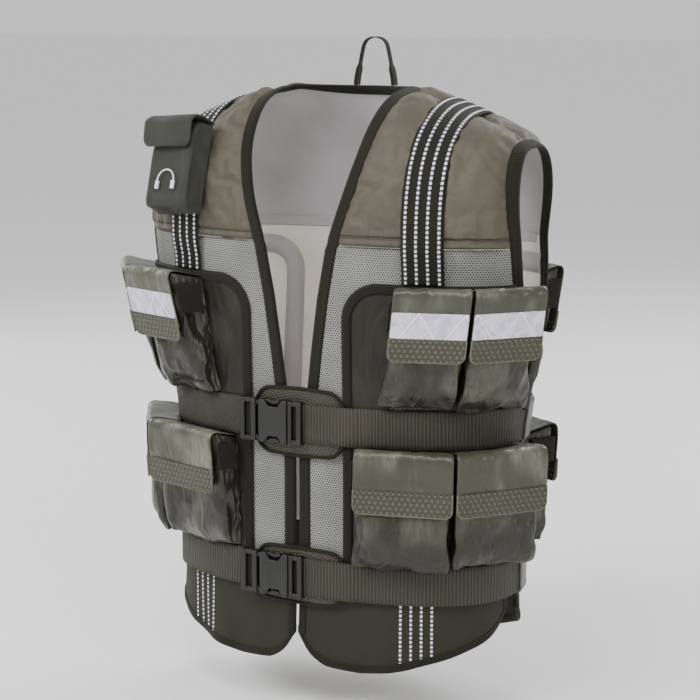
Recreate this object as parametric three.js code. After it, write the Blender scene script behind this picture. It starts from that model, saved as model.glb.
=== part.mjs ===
// A weighted training vest in the form that it has when worn.
// Lengths are millimetres. +Z is up, the front faces -Y and the wearer's left is +X.
// The origin is midway between the shoulders, level with the shoulder ridge under the straps.
import * as THREE from 'three';

// Body under the vest: half widths and depths of its level sections
const CHEST_HALF_WIDTH = 229;
const CHEST_FRONT = 110;
const CHEST_BACK = 107;
const WAIST_HALF_WIDTH = 190;
const WAIST_FRONT = 106;
const WAIST_BACK = 100;
const SQUARENESS = 2.4;

// Neck and shoulders
const NECK_HALF_WIDTH = 70;
const NECK_RISE = 29;
const NAPE_RISE = 46;
const BACK_NECK_TURN = 20;
const FRONT_NECK_HALF_WIDTH = 36;
const SHOULDER_HALF_WIDTH = 215;
const SHOULDER_FALL = 26;
const NECK_ROUNDNESS = 2.3;
const SHOULDER_ROUNDNESS = 2.9;
const ARMHOLE_ROUNDNESS = 1.5;
const NAPE_ROUNDNESS = 2.2;

// Levels below the origin
const YOKE_HEM_DROP = 122;
const POCKET_PANEL_DROP = 158;
const UPPER_BELT_DROP = 306;
const LOWER_BELT_DROP = 468;
const HEM_DROP = 566;

// Armholes and front opening
const ARMHOLE_FRONT_REACH = 42;
const ARMHOLE_BACK_REACH = 72;
const FRONT_GAP = 4;

// Cloth, tape and webbing
const MESH_THICKNESS = 2.5;
const YOKE_THICKNESS = 8;
const YOKE_EDGE_THICKNESS = 4;
const PANEL_THICKNESS = 1.5;
const SKIRT_THICKNESS = 2.5;
const BINDING_WIDTH = 10;
const BINDING_THICKNESS = 4;
const WEBBING_THICKNESS = 2;
const BELT_WIDTH = 40;
const STRAP_WIDTH = 40;
const STRAP_FRONT_X = 138;
const STRAP_BACK_X = 126;
const TAIL_LENGTH = 105;
const TAIL_WIDTH = 36;
const TAIL_PLACE = -1.04;

// Pockets
const PANEL_INNER_X = 54;
const PANEL_CORNER = 40;
const UPPER_POCKET_WIDTH = 78;
const LOWER_POCKET_WIDTH = 103;
const UPPER_POCKET_TOP_DEPTH = 54;
const UPPER_POCKET_BASE_DEPTH = 36;
const LOWER_POCKET_TOP_DEPTH = 50;
const LOWER_POCKET_BASE_DEPTH = 42;
const POCKET_TOP_RISE = 9;
const UPPER_FLAP_LENGTH = 64;
const LOWER_FLAP_LENGTH = 56;
const FLAP_THICKNESS = 2.5;
const BAG_SIDE_TUCK = 5;
const BAG_BASE_TUCK = 9;

// Buckles, the tabs behind them, the pouch and the loop
const BUCKLE_LENGTH = 75;
const BUCKLE_HEIGHT = 46;
const BUCKLE_THICKNESS = 10;
const BUCKLE_X = -24;
const TAB_LENGTH = 104;
const TAB_X = 5;
const UPPER_TAB_HEIGHT = 70;
const LOWER_TAB_HEIGHT = 58;
const TAB_THICKNESS = 3;
const TAB_CLEARANCE = 4;
const BELT_RAMP = 0.06;
const POUCH_WIDTH = 64;
const POUCH_HEIGHT = 92;
const POUCH_DEPTH = 26;
const POUCH_CORNER = 6;
const POUCH_FLAP_SHARE = 0.34;
const POUCH_TURN = 36;
const LOOP_WIDTH = 44;
const LOOP_HEIGHT = 50;
const LOOP_TAPE_WIDTH = 10;
const LOOP_TAPE_THICKNESS = 2.5;

// Clearances between pieces that lie on each other, side by side, and under what bends in flats
const LAYER_GAP = 0.8;
const SEAM_GAP = 0.7;
const BEND_GAP = 1.05;

// Turns over the shoulders, in degrees, and the step that a normal is measured over
const RIDGE_TURN = 90;
const HALF_TURN = 180;
const BEHIND_RIDGE = 90.01;
const NORMAL_STEP = 0.5;

const COLOURS = {
  satin: { color: 0x5f5a4c, roughness: 0.5 },
  tape: { color: 0x32312a, roughness: 0.85 },
  mesh: { color: 0x9a9a98, roughness: 0.9 },
  nylon: { color: 0x3e3d36, roughness: 0.6 },
  flap: { color: 0x4a483e, roughness: 0.6 },
  webbing: { color: 0x3c3a34, roughness: 0.8 },
  skirt: { color: 0x2f2e2a, roughness: 0.9 },
  plastic: { color: 0x454132, roughness: 0.45 },
  pouch: { color: 0x4a4a44, roughness: 0.8 },
};

// Tables of shares
// Waist share of each level section, by its drop as a share of the hem's
const GIRTH = [
  { drop: 0.0, waist: 0.0 },
  { drop: 0.24, waist: 0.05 },
  { drop: 0.38, waist: 0.4 },
  { drop: 0.54, waist: 0.93 },
  { drop: 0.65, waist: 1.0 },
  { drop: 1.0, waist: 1.0 },
];

// Neck edge of the front yokes, by the share of the quarter turn up to the shoulder ridge
const NECK_EDGE = [
  { turn: 0.0, width: 0.0 },
  { turn: 0.27, width: 0.46 },
  { turn: 0.5, width: 0.78 },
  { turn: 0.75, width: 0.95 },
  { turn: 1.0, width: 1.0 },
];

// Front edge below the yoke, by the share of the way down to the upper belt
const FRONT_EDGE = [
  { down: 0.0, width: 1.0 },
  { down: 0.3, width: 0.68 },
  { down: 0.6, width: 0.45 },
  { down: 0.85, width: 0.28 },
  { down: 1.0, width: 0.0 },
];

// Armhole edges, by the share of the way from the yoke hem down to the armhole's foot
const ARMHOLE_EDGE = [
  { down: 0.0, front: 1.0, back: 1.0 },
  { down: 0.22, front: 0.84, back: 0.86 },
  { down: 0.5, front: 0.45, back: 0.62 },
  { down: 0.8, front: 0.2, back: 0.34 },
  { down: 1.0, front: 0.12, back: 0.12 },
];

// Hem of the skirts, as a share of the skirt's length, by the place round the body:
// 0 at the front centre, 1 at the side, 2 at the back centre
const FRONT_HEM = [
  { place: 0.0, length: 0.6 },
  { place: 0.06, length: 0.85 },
  { place: 0.13, length: 0.97 },
  { place: 0.3, length: 1.0 },
  { place: 0.5, length: 0.92 },
  { place: 0.7, length: 0.76 },
  { place: 0.88, length: 0.58 },
  { place: 0.94, length: 0.48 },
  { place: 0.97, length: 0.3 },
];
const BACK_HEM = [
  { place: 1.03, length: 0.36 },
  { place: 1.07, length: 0.52 },
  { place: 1.15, length: 0.62 },
  { place: 1.4, length: 0.84 },
  { place: 1.7, length: 1.0 },
  { place: 2.0, length: 1.0 },
];

const HEM_LEVEL = -YOKE_HEM_DROP;
const ARMHOLE_FOOT = -(UPPER_BELT_DROP - BELT_WIDTH / 2 - 4 * LAYER_GAP);
const PANEL_FACE = MESH_THICKNESS + LAYER_GAP;
const OVER_PANEL = PANEL_FACE + PANEL_THICKNESS + LAYER_GAP;
const BINDING_BACK = -(BINDING_THICKNESS - MESH_THICKNESS) / 2;
const UNDER_BEND = PANEL_FACE + PANEL_THICKNESS + BEND_GAP;
const OVER_TAB = OVER_PANEL + TAB_THICKNESS + LAYER_GAP;

// Small helpers
const mix = (from, to, share) => from + (to - from) * share;
const steps = (from, to, count) => Array.from({ length: count + 1 }, (_, i) => mix(from, to, i / count));

function lookup(table, key, value, at) {
  if (at <= table[0][key]) return table[0][value];
  for (let i = 1; i < table.length; i += 1) {
    const low = table[i - 1];
    const high = table[i];
    if (at <= high[key]) {
      return mix(low[value], high[value], (at - low[key]) / (high[key] - low[key]));
    }
  }
  return table[table.length - 1][value];
}

function section(level) {
  const waist = lookup(GIRTH, 'drop', 'waist', -level / HEM_DROP);
  return {
    half: mix(CHEST_HALF_WIDTH, WAIST_HALF_WIDTH, waist),
    front: mix(CHEST_FRONT, WAIST_FRONT, waist),
    back: mix(CHEST_BACK, WAIST_BACK, waist),
  };
}

// A quarter of a level section by arc length, from the centre line to the side
const quarters = new Map();
function quarter(half, depth) {
  const key = `${half} ${depth}`;
  if (!quarters.has(key)) {
    const points = [];
    let run = 0;
    let last = null;
    for (const angle of steps(0, Math.PI / 2, 96)) {
      const x = half * Math.sin(angle) ** (2 / SQUARENESS);
      const y = depth * Math.max(Math.cos(angle), 0) ** (2 / SQUARENESS);
      if (last) run += Math.hypot(x - last.x, y - last.y);
      last = { x, y, run };
      points.push(last);
    }
    quarters.set(key, { points, length: run });
  }
  return quarters.get(key);
}

// Point and outward normal at a place round the body, at a level
function ring(place, level) {
  const wrapped = ((((place + 2) % 4) + 4) % 4) - 2;
  const side = wrapped < 0 ? -1 : 1;
  const around = Math.abs(wrapped);
  const { half, front, back } = section(level);
  const depth = around <= 1 ? front : back;
  const share = around <= 1 ? around : 2 - around;
  const arc = quarter(half, depth);
  const run = share * arc.length;
  const x = lookup(arc.points, 'run', 'x', run);
  const y = lookup(arc.points, 'run', 'y', run);
  const face = around <= 1 ? -1 : 1;
  const normal = new THREE.Vector3(
    side * (x / half) ** (SQUARENESS - 1) / half,
    face * (y / depth) ** (SQUARENESS - 1) / depth,
    0,
  ).normalize();
  return { point: new THREE.Vector3(side * x, face * y, level), normal };
}

// Place round the body of a distance from the front centre or the side line
function frontPlace(x, level) {
  const { half, front } = section(level);
  const arc = quarter(half, front);
  return (Math.sign(x) * lookup(arc.points, 'x', 'run', Math.abs(x))) / arc.length;
}

function quarterLength(level, back) {
  const { half, front, back: rear } = section(level);
  return quarter(half, back ? rear : front).length;
}

// Point on the yokes: turn is 0 at the front hem, 90 at the shoulder ridge, 180 at the back hem
function archPoint(x, turn) {
  const { half, front, back } = section(HEM_LEVEL);
  const depth = turn < RIDGE_TURN ? front : back;
  const reach = depth * Math.max(1 - (Math.abs(x) / half) ** SQUARENESS, 0) ** (1 / SQUARENESS);
  const beyond = (Math.abs(x) - NECK_HALF_WIDTH) / (SHOULDER_HALF_WIDTH - NECK_HALF_WIDTH);
  const out = Math.min(Math.max(beyond, 0), 1);
  const inside = Math.cos((Math.PI / 2) * Math.min(Math.abs(x) / NECK_HALF_WIDTH, 1)) ** 2;
  const nape = (NAPE_RISE - NECK_RISE) * inside;
  const height = YOKE_HEM_DROP + mix(NECK_RISE, -SHOULDER_FALL, out) + nape;
  const power = mix(NECK_ROUNDNESS, SHOULDER_ROUNDNESS, out);
  const angle = THREE.MathUtils.degToRad(turn);
  const along = Math.abs(Math.cos(angle)) / reach;
  const up = Math.sin(angle) / height;
  const radius = (along ** power + up ** power) ** (-1 / power);
  return new THREE.Vector3(x, -radius * Math.cos(angle), HEM_LEVEL + radius * Math.sin(angle));
}

function arch(x, turn) {
  const point = archPoint(x, turn);
  const across = archPoint(x + NORMAL_STEP, turn).sub(archPoint(x - NORMAL_STEP, turn));
  const held = Math.min(Math.max(turn, NORMAL_STEP), HALF_TURN - NORMAL_STEP);
  const over = archPoint(x, held + NORMAL_STEP).sub(archPoint(x, held - NORMAL_STEP));
  return { point, normal: across.cross(over).normalize() };
}

const lift = (spot, offset) => spot.point.clone().addScaledVector(spot.normal, offset);

// Edges of the vest
function neckEdge(turn) {
  return mix(FRONT_NECK_HALF_WIDTH, NECK_HALF_WIDTH, lookup(NECK_EDGE, 'turn', 'width', turn / RIDGE_TURN));
}

function frontEdge(level) {
  const down = (HEM_LEVEL - level) / (UPPER_BELT_DROP - YOKE_HEM_DROP);
  return mix(FRONT_GAP / 2, FRONT_NECK_HALF_WIDTH, lookup(FRONT_EDGE, 'down', 'width', down));
}

function armholePlace(level, back, inset) {
  const down = (level - HEM_LEVEL) / (ARMHOLE_FOOT - HEM_LEVEL);
  const reach = back ? ARMHOLE_BACK_REACH : ARMHOLE_FRONT_REACH;
  const share = lookup(ARMHOLE_EDGE, 'down', back ? 'back' : 'front', down);
  const away = (reach * share + inset) / quarterLength(level, back);
  return back ? 1 + away : 1 - away;
}

function armholeX(turn, inset) {
  const foot = ring(armholePlace(HEM_LEVEL, turn > RIDGE_TURN, inset), HEM_LEVEL).point.x;
  const rise = Math.sin(THREE.MathUtils.degToRad(turn)) ** ARMHOLE_ROUNDNESS;
  return mix(foot, SHOULDER_HALF_WIDTH - inset, rise);
}

function backNeckTurn(x, inset) {
  const share = Math.min(Math.abs(x) / (NECK_HALF_WIDTH + inset), 1);
  const drop = THREE.MathUtils.radToDeg(inset / (YOKE_HEM_DROP + NAPE_RISE));
  return RIDGE_TURN + (BACK_NECK_TURN + drop) * (1 - share ** NAPE_ROUNDNESS);
}

// Closed solid between two grids of points, given as rows of columns.
// Each four-sided facet is split along its shorter diagonal.
const SAME_LENGTH = 1e-4;
function block(inner, outer) {
  const rows = inner.length;
  const columns = inner[0].length;
  const positions = [];
  for (const grid of [inner, outer]) {
    for (const row of grid) {
      for (const point of row) positions.push(point.x, point.y, point.z);
    }
  }
  const low = (i, j) => i * columns + j;
  const high = (i, j) => rows * columns + low(i, j);
  const index = [];
  const corner = (k) => new THREE.Vector3().fromArray(positions, 3 * k);
  const length = (a, b) => corner(a).distanceTo(corner(b));
  const quad = (a, b, c, d) => {
    if (length(a, c) <= length(b, d) + SAME_LENGTH) index.push(a, b, c, a, c, d);
    else index.push(b, c, d, b, d, a);
  };
  for (let i = 0; i < rows - 1; i += 1) {
    for (let j = 0; j < columns - 1; j += 1) {
      quad(low(i, j), low(i, j + 1), low(i + 1, j + 1), low(i + 1, j));
      quad(high(i, j), high(i + 1, j), high(i + 1, j + 1), high(i, j + 1));
    }
  }
  for (let i = 0; i < rows - 1; i += 1) {
    quad(low(i, 0), low(i + 1, 0), high(i + 1, 0), high(i, 0));
    const last = columns - 1;
    quad(low(i, last), high(i, last), high(i + 1, last), low(i + 1, last));
  }
  for (let j = 0; j < columns - 1; j += 1) {
    quad(low(0, j), high(0, j), high(0, j + 1), low(0, j + 1));
    quad(low(rows - 1, j), low(rows - 1, j + 1), high(rows - 1, j + 1), high(rows - 1, j));
  }
  if (volume(positions, index) < 0) index.reverse();
  const geometry = new THREE.BufferGeometry();
  geometry.setAttribute('position', new THREE.Float32BufferAttribute(positions, 3));
  geometry.setIndex(index);
  geometry.computeVertexNormals();
  return geometry;
}

function volume(positions, index) {
  let total = 0;
  const corner = (k) => new THREE.Vector3().fromArray(positions, 3 * index[k]);
  for (let k = 0; k < index.length; k += 3) {
    total += corner(k).dot(corner(k + 1).cross(corner(k + 2)));
  }
  return total;
}

// Sheet over the body: spots are rows of { point, normal }, offsets a number or a function
function sheet(spots, inner, outer) {
  const at = (offset, i, j) => (typeof offset === 'function' ? offset(i, j) : offset);
  const grid = (offset) => spots.map((row, i) => row.map((spot, j) => lift(spot, at(offset, i, j))));
  return block(grid(inner), grid(outer));
}

const vest = new THREE.Group();

function piece(name, geometry, finish) {
  const material = new THREE.MeshStandardMaterial({ ...COLOURS[finish], metalness: 0 });
  const mesh = new THREE.Mesh(geometry, material);
  mesh.name = name;
  vest.add(mesh);
  return mesh;
}

// The wearer's left is built, and the right is its mirror image
const mirrorSpot = ({ point, normal }) => ({
  point: new THREE.Vector3(-point.x, point.y, point.z),
  normal: new THREE.Vector3(-normal.x, normal.y, normal.z),
});
const SIDES = [
  { name: 'left', place: (spots) => spots },
  { name: 'right', place: (spots) => spots.map((row) => row.map(mirrorSpot)) },
];

// Rows that neighbouring pieces share, so that their edges run side by side
const YOKE_TURNS = steps(0, RIDGE_TURN, 8);
const BOTH_TURNS = steps(0, HALF_TURN, 16);
const CORNER_LEVELS = [0, 0.12, 0.35, 1].map((share) => -POCKET_PANEL_DROP - PANEL_CORNER * share);
const UPPER_LEVELS = [HEM_LEVEL, ...CORNER_LEVELS, ...steps(CORNER_LEVELS[3], ARMHOLE_FOOT, 2).slice(1)];
const WAIST_LEVEL = mix(-UPPER_BELT_DROP, -LOWER_BELT_DROP, 0.38);
const LOWER_LEVELS = [ARMHOLE_FOOT - 2.5 * LAYER_GAP, -UPPER_BELT_DROP, WAIST_LEVEL, -LOWER_BELT_DROP];
const LEVELS = [...UPPER_LEVELS, ...LOWER_LEVELS];
const NECK_SHARES = steps(-1, 1, 10);
const PANEL_COLUMNS = 9;
const YOKE_COLUMNS = 7;
const FACET_WIDTH = 27;
const INSET = BINDING_WIDTH + SEAM_GAP;
const SEAM_TURN = THREE.MathUtils.radToDeg(SEAM_GAP / 2 / YOKE_HEM_DROP);

// Yokes
function yokeOuter(count, rows) {
  return (i, j) => {
    const across = Math.sin((Math.PI * j) / count) ** 0.4;
    const along = Math.sin((Math.PI * Math.min(i / rows, 0.5))) ** 0.4;
    return mix(YOKE_EDGE_THICKNESS, YOKE_THICKNESS, Math.min(across, along));
  };
}

function frontYoke() {
  return YOKE_TURNS.map((turn) => {
    const held = Math.min(Math.max(turn, SEAM_TURN), RIDGE_TURN - SEAM_TURN);
    return steps(neckEdge(turn) + INSET, armholeX(turn, INSET), YOKE_COLUMNS).map((x) => arch(x, held));
  });
}

function backYoke() {
  const shares = [];
  const topOf = (share) => {
    let turn = RIDGE_TURN;
    for (let k = 0; k < 8; k += 1) {
      turn = backNeckTurn(share * armholeX(Math.max(turn, BEHIND_RIDGE), INSET), INSET);
    }
    return Math.max(turn, RIDGE_TURN + SEAM_TURN);
  };
  for (const share of NECK_SHARES) {
    const x = share * (NECK_HALF_WIDTH + INSET);
    shares.push(x / armholeX(Math.max(backNeckTurn(x, INSET), BEHIND_RIDGE), INSET));
  }
  const last = shares[shares.length - 1];
  const outward = steps(last, 1, 5).slice(1);
  const all = [...outward.map((share) => -share).reverse(), ...shares, ...outward];
  return steps(0, 1, 8).map((rise) => all.map((share) => {
    const turn = mix(HALF_TURN - SEAM_TURN, topOf(share), rise);
    return arch(share * armholeX(turn, INSET), turn);
  }));
}

for (const side of SIDES) {
  const spots = side.place(frontYoke());
  piece(`front_yoke_${side.name}`, sheet(spots, 0, yokeOuter(YOKE_COLUMNS, 8)), 'satin');
}
const backYokeSpots = backYoke();
piece('back_yoke', sheet(backYokeSpots, 0, yokeOuter(backYokeSpots[0].length - 1, 8)), 'satin');

// Mesh panels
function meshSide(level, back) {
  if (level >= ARMHOLE_FOOT) return armholePlace(level, back, INSET);
  const gap = SEAM_GAP / 2 / quarterLength(level, back);
  return back ? 1 + gap : 1 - gap;
}

function clearOfSeams(level) {
  return Math.min(Math.max(level, -LOWER_BELT_DROP + SEAM_GAP / 2), HEM_LEVEL - SEAM_GAP / 2);
}

function frontMesh() {
  return LEVELS.map((level) => {
    const inner = frontPlace(frontEdge(level) + INSET, level);
    const panel = frontPlace(PANEL_INNER_X, level);
    const outward = steps(panel, meshSide(level, false), PANEL_COLUMNS);
    return [inner, ...outward].map((place) => ring(place, clearOfSeams(level)));
  });
}

function backMesh() {
  return LEVELS.map((level) => {
    const panel = frontPlace(PANEL_INNER_X, level);
    const inward = steps(meshSide(level, true), 2 - panel, PANEL_COLUMNS);
    const places = [...inward, 2, ...inward.map((place) => 4 - place).reverse()];
    return places.map((place) => ring(place, clearOfSeams(level)));
  });
}

for (const side of SIDES) {
  piece(`front_mesh_${side.name}`, sheet(side.place(frontMesh()), 0, MESH_THICKNESS), 'mesh');
}
piece('back_mesh', sheet(backMesh(), 0, MESH_THICKNESS), 'mesh');

// Pocket panels, with a rounded corner at the top next to the opening
function pocketPanel(back) {
  return LEVELS.slice(1).map((level) => {
    const into = Math.max(1 - (-POCKET_PANEL_DROP - level) / PANEL_CORNER, 0);
    const inset = PANEL_CORNER * (1 - Math.sqrt(1 - into ** 2));
    const start = frontPlace(PANEL_INNER_X + inset, level);
    const places = steps(back ? 2 - start : start, meshSide(level, back), PANEL_COLUMNS);
    return places.map((place) => ring(place, clearOfSeams(level)));
  });
}

for (const side of SIDES) {
  for (const [face, back] of [['front', false], ['back', true]]) {
    const outer = PANEL_FACE + PANEL_THICKNESS;
    const spots = side.place(pocketPanel(back));
    piece(`${face}_pocket_panel_${side.name}`, sheet(spots, PANEL_FACE, outer), 'nylon');
  }
}

// Bindings: a folded tape along the neck and fronts, and round each armhole
function neckBinding() {
  const front = (level) => [0, BINDING_WIDTH].map((inset) => {
    return ring(frontPlace(frontEdge(level) + inset, level), clearOfSeams(level));
  });
  const rise = (turn) => [0, BINDING_WIDTH].map((inset) => arch(neckEdge(turn) + inset, turn));
  const behind = (share) => [0, BINDING_WIDTH].map((inset) => {
    const x = share * (NECK_HALF_WIDTH + inset);
    return arch(x, backNeckTurn(x, inset));
  });
  const lower = [...LEVELS].reverse().slice(0, -1).map(front);
  const left = [...lower, ...YOKE_TURNS.map(rise)];
  const right = left.map((row) => row.map(mirrorSpot)).reverse();
  return [...left, ...[...NECK_SHARES].reverse().slice(1, -1).map(behind), ...right];
}

function armholeBinding() {
  const low = (level, back) => [0, BINDING_WIDTH].map((inset) => {
    const held = Math.max(level, ARMHOLE_FOOT + SEAM_GAP);
    return ring(armholePlace(level, back, inset), held);
  });
  const over = (turn) => [0, BINDING_WIDTH].map((inset) => arch(armholeX(turn, inset), turn));
  const front = [...UPPER_LEVELS].reverse().slice(0, -1).map((level) => low(level, false));
  const back = UPPER_LEVELS.slice(1).map((level) => low(level, true));
  return [...front, ...BOTH_TURNS.map(over), ...back];
}

const bindingFace = BINDING_BACK + BINDING_THICKNESS;
piece('neck_binding', sheet(neckBinding(), BINDING_BACK, bindingFace), 'tape');
for (const side of SIDES) {
  const spots = side.place(armholeBinding());
  piece(`armhole_binding_${side.name}`, sheet(spots, BINDING_BACK, bindingFace), 'tape');
}

// Shoulder straps: over the yokes, then down to the top of the pocket panels
function shoulderStrap() {
  const foot = -POCKET_PANEL_DROP - 2 * LAYER_GAP;
  const half = STRAP_WIDTH / 2;
  const columns = [-half, 0, half];
  const low = (middle, level, back) => columns.map((across) => {
    const place = frontPlace(middle + across, level);
    return ring(back ? 2 - place : place, level);
  });
  const over = (turn) => {
    const middle = mix(STRAP_FRONT_X, STRAP_BACK_X, Math.max(turn / RIDGE_TURN - 1, 0));
    return columns.map((across) => arch(middle + across, turn));
  };
  const levels = [foot, mix(foot, HEM_LEVEL, 0.4), mix(foot, HEM_LEVEL, 0.7)];
  const front = levels.map((level) => low(STRAP_FRONT_X, level, false));
  const back = [...levels].reverse().map((level) => low(STRAP_BACK_X, level, true));
  return [...front, ...BOTH_TURNS.map(over), ...back];
}

const overYoke = YOKE_THICKNESS + LAYER_GAP;
for (const side of SIDES) {
  const spots = side.place(shoulderStrap());
  const base = (i) => (i < 2 || i > spots.length - 3 ? OVER_PANEL : overYoke);
  piece(`shoulder_strap_${side.name}`, sheet(spots, base, (i) => base(i) + WEBBING_THICKNESS), 'webbing');
}

// Skirts below the lower belt
function skirt(table, places) {
  const top = -LOWER_BELT_DROP - SEAM_GAP / 2;
  const length = HEM_DROP - LOWER_BELT_DROP;
  return steps(0, 1, 2).map((down) => places.map((place) => {
    const around = place > 2 ? 4 - place : place;
    return ring(place, top - down * (length * lookup(table, 'place', 'length', around) - SEAM_GAP));
  }));
}

const frontHemPlaces = [
  FRONT_GAP / 2 / quarterLength(-HEM_DROP, false),
  ...FRONT_HEM.slice(1).map((row) => row.place),
];
const backHemPlaces = BACK_HEM.map((row) => row.place);
const backHemRing = [...backHemPlaces, ...backHemPlaces.slice(0, -1).reverse().map((place) => 4 - place)];
const halfway = (places, i) => mix(places[i - 1], places[i], 0.5);
const finer = (places) => places.flatMap((place, i) => (i ? [halfway(places, i), place] : [place]));
for (const side of SIDES) {
  const spots = side.place(skirt(FRONT_HEM, finer(frontHemPlaces)));
  piece(`front_skirt_${side.name}`, sheet(spots, 0, SKIRT_THICKNESS), 'skirt');
}
piece('back_skirt', sheet(skirt(BACK_HEM, finer(backHemRing)), 0, SKIRT_THICKNESS), 'skirt');

// Belts, from the buckle's one end round the back to its other end
function belt(drop) {
  const level = -drop;
  const half = BUCKLE_LENGTH / 2 + SEAM_GAP;
  const start = frontPlace(BUCKLE_X + half, level);
  const end = 4 + frontPlace(BUCKLE_X - half, level);
  const tabStart = 4 + frontPlace(TAB_X - TAB_LENGTH / 2 - TAB_CLEARANCE, level);
  const tabEnd = frontPlace(TAB_X + TAB_LENGTH / 2 + TAB_CLEARANCE, level);
  const last = Math.min(tabStart, end - BELT_RAMP / 6);
  const marks = [start, tabEnd, tabEnd + BELT_RAMP, tabStart - BELT_RAMP, last, end];
  const long = steps(marks[2], marks[3], 40).slice(1, -1);
  const places = [...new Set([...marks, ...long])].sort((a, b) => a - b);
  const raised = (place) => place <= tabEnd || place >= tabStart;
  const offset = (i) => (raised(places[i]) ? OVER_TAB : UNDER_BEND);
  const rows = places.map((place) => [-1, 1].map((edge) => ring(place, level + (edge * BELT_WIDTH) / 2)));
  return sheet(rows, offset, (i) => offset(i) + WEBBING_THICKNESS);
}

piece('upper_belt', belt(UPPER_BELT_DROP), 'webbing');
piece('lower_belt', belt(LOWER_BELT_DROP), 'webbing');

// Free end of the lower belt, hanging at the wearer's right side
function beltTail() {
  const top = -LOWER_BELT_DROP + BELT_WIDTH / 2 - 2 * LAYER_GAP;
  const half = TAIL_WIDTH / 2 / quarterLength(top, true);
  return steps(top, top - TAIL_LENGTH, 4).map((level) => {
    return steps(TAIL_PLACE - half, TAIL_PLACE + half, 3).map((place) => {
      const spot = ring(place, -LOWER_BELT_DROP);
      return { point: spot.point.setZ(level), normal: spot.normal };
    });
  });
}

const tailFace = UNDER_BEND + WEBBING_THICKNESS + LAYER_GAP;
piece('belt_tail', sheet(beltTail(), tailFace, tailFace + WEBBING_THICKNESS), 'webbing');

// Rounded tabs behind the buckles
function buckleTab(drop, height) {
  const corner = height / 3;
  const heights = [-1, -0.9, -0.6, -1 / 3, 1 / 3, 0.6, 0.9, 1];
  return heights.map((share) => {
    const level = -drop + (share * height) / 2;
    const into = Math.max((Math.abs(share) * height) / 2 - (height / 2 - corner), 0) / corner;
    const half = TAB_LENGTH / 2 - corner * (1 - Math.sqrt(Math.max(1 - into ** 2, 0)));
    return steps(TAB_X - half, TAB_X + half, 6).map((x) => ring(frontPlace(x, level), level));
  });
}

const TABS = [
  { name: 'upper', drop: UPPER_BELT_DROP, height: UPPER_TAB_HEIGHT },
  { name: 'lower', drop: LOWER_BELT_DROP, height: LOWER_TAB_HEIGHT },
];
for (const { name, drop, height } of TABS) {
  const spots = buckleTab(drop, height);
  piece(`${name}_buckle_tab`, sheet(spots, OVER_PANEL, OVER_PANEL + TAB_THICKNESS), 'nylon');
}

// Side-release buckles: a plate with a release window at each side and a slot for the webbing
function roundedRectangle(path, x, y, width, height, radius) {
  path.moveTo(x + radius, y);
  path.lineTo(x + width - radius, y);
  path.absarc(x + width - radius, y + radius, radius, -Math.PI / 2, 0, false);
  path.lineTo(x + width, y + height - radius);
  path.absarc(x + width - radius, y + height - radius, radius, 0, Math.PI / 2, false);
  path.lineTo(x + radius, y + height);
  path.absarc(x + radius, y + height - radius, radius, Math.PI / 2, Math.PI, false);
  path.lineTo(x, y + radius);
  path.absarc(x + radius, y + radius, radius, Math.PI, 1.5 * Math.PI, false);
  return path;
}

function buckle() {
  const wall = BUCKLE_HEIGHT / 8;
  const outline = new THREE.Shape();
  const end = BUCKLE_LENGTH / 2;
  const edge = BUCKLE_HEIGHT / 2;
  roundedRectangle(outline, -end, -edge, BUCKLE_LENGTH, BUCKLE_HEIGHT, wall);
  const windowLength = BUCKLE_LENGTH * 0.26;
  for (const face of [-1, 1]) {
    const window = new THREE.Path();
    const low = face > 0 ? edge - 2 * wall : wall - edge;
    roundedRectangle(window, -windowLength * 0.8, low, windowLength, wall, wall / 3);
    outline.holes.push(window);
  }
  const slot = new THREE.Path();
  roundedRectangle(slot, end - 2 * wall, wall - edge, wall, BUCKLE_HEIGHT - 2 * wall, 1);
  outline.holes.push(slot);
  const depth = BUCKLE_THICKNESS;
  return new THREE.ExtrudeGeometry(outline, { depth, bevelEnabled: false, curveSegments: 3 });
}

for (const { name, drop } of TABS) {
  const mesh = piece(`${name}_buckle`, buckle(), 'plastic');
  mesh.rotation.x = Math.PI / 2;
  mesh.position.set(BUCKLE_X, -section(-drop).front - OVER_TAB, -drop);
}

// Pockets. A pair meets along a ridge that stands off the body, and each of its two fronts turns
// away from the ridge. Their walls run back to the panel.
const PAIRS = [
  { name: 'upper_front', place: 0.66, fan: 17, upper: true },
  { name: 'upper_back', place: 1.58, fan: 14, upper: true },
  { name: 'lower_front', place: 0.66, fan: 20, upper: false },
  { name: 'lower_back', place: 1.58, fan: 16, upper: false },
];

function pocketSize(upper) {
  const beltEdge = BELT_WIDTH / 2 + 2 * LAYER_GAP;
  const flapRoom = FLAP_THICKNESS + 2 * LAYER_GAP;
  return {
    top: upper ? -POCKET_PANEL_DROP - 2 * flapRoom : -UPPER_BELT_DROP - beltEdge - flapRoom,
    base: upper ? -UPPER_BELT_DROP + beltEdge : -LOWER_BELT_DROP + beltEdge,
    width: upper ? UPPER_POCKET_WIDTH : LOWER_POCKET_WIDTH,
    topDepth: upper ? UPPER_POCKET_TOP_DEPTH : LOWER_POCKET_TOP_DEPTH,
    baseDepth: upper ? UPPER_POCKET_BASE_DEPTH : LOWER_POCKET_BASE_DEPTH,
    flap: upper ? UPPER_FLAP_LENGTH : LOWER_FLAP_LENGTH,
  };
}

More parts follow.
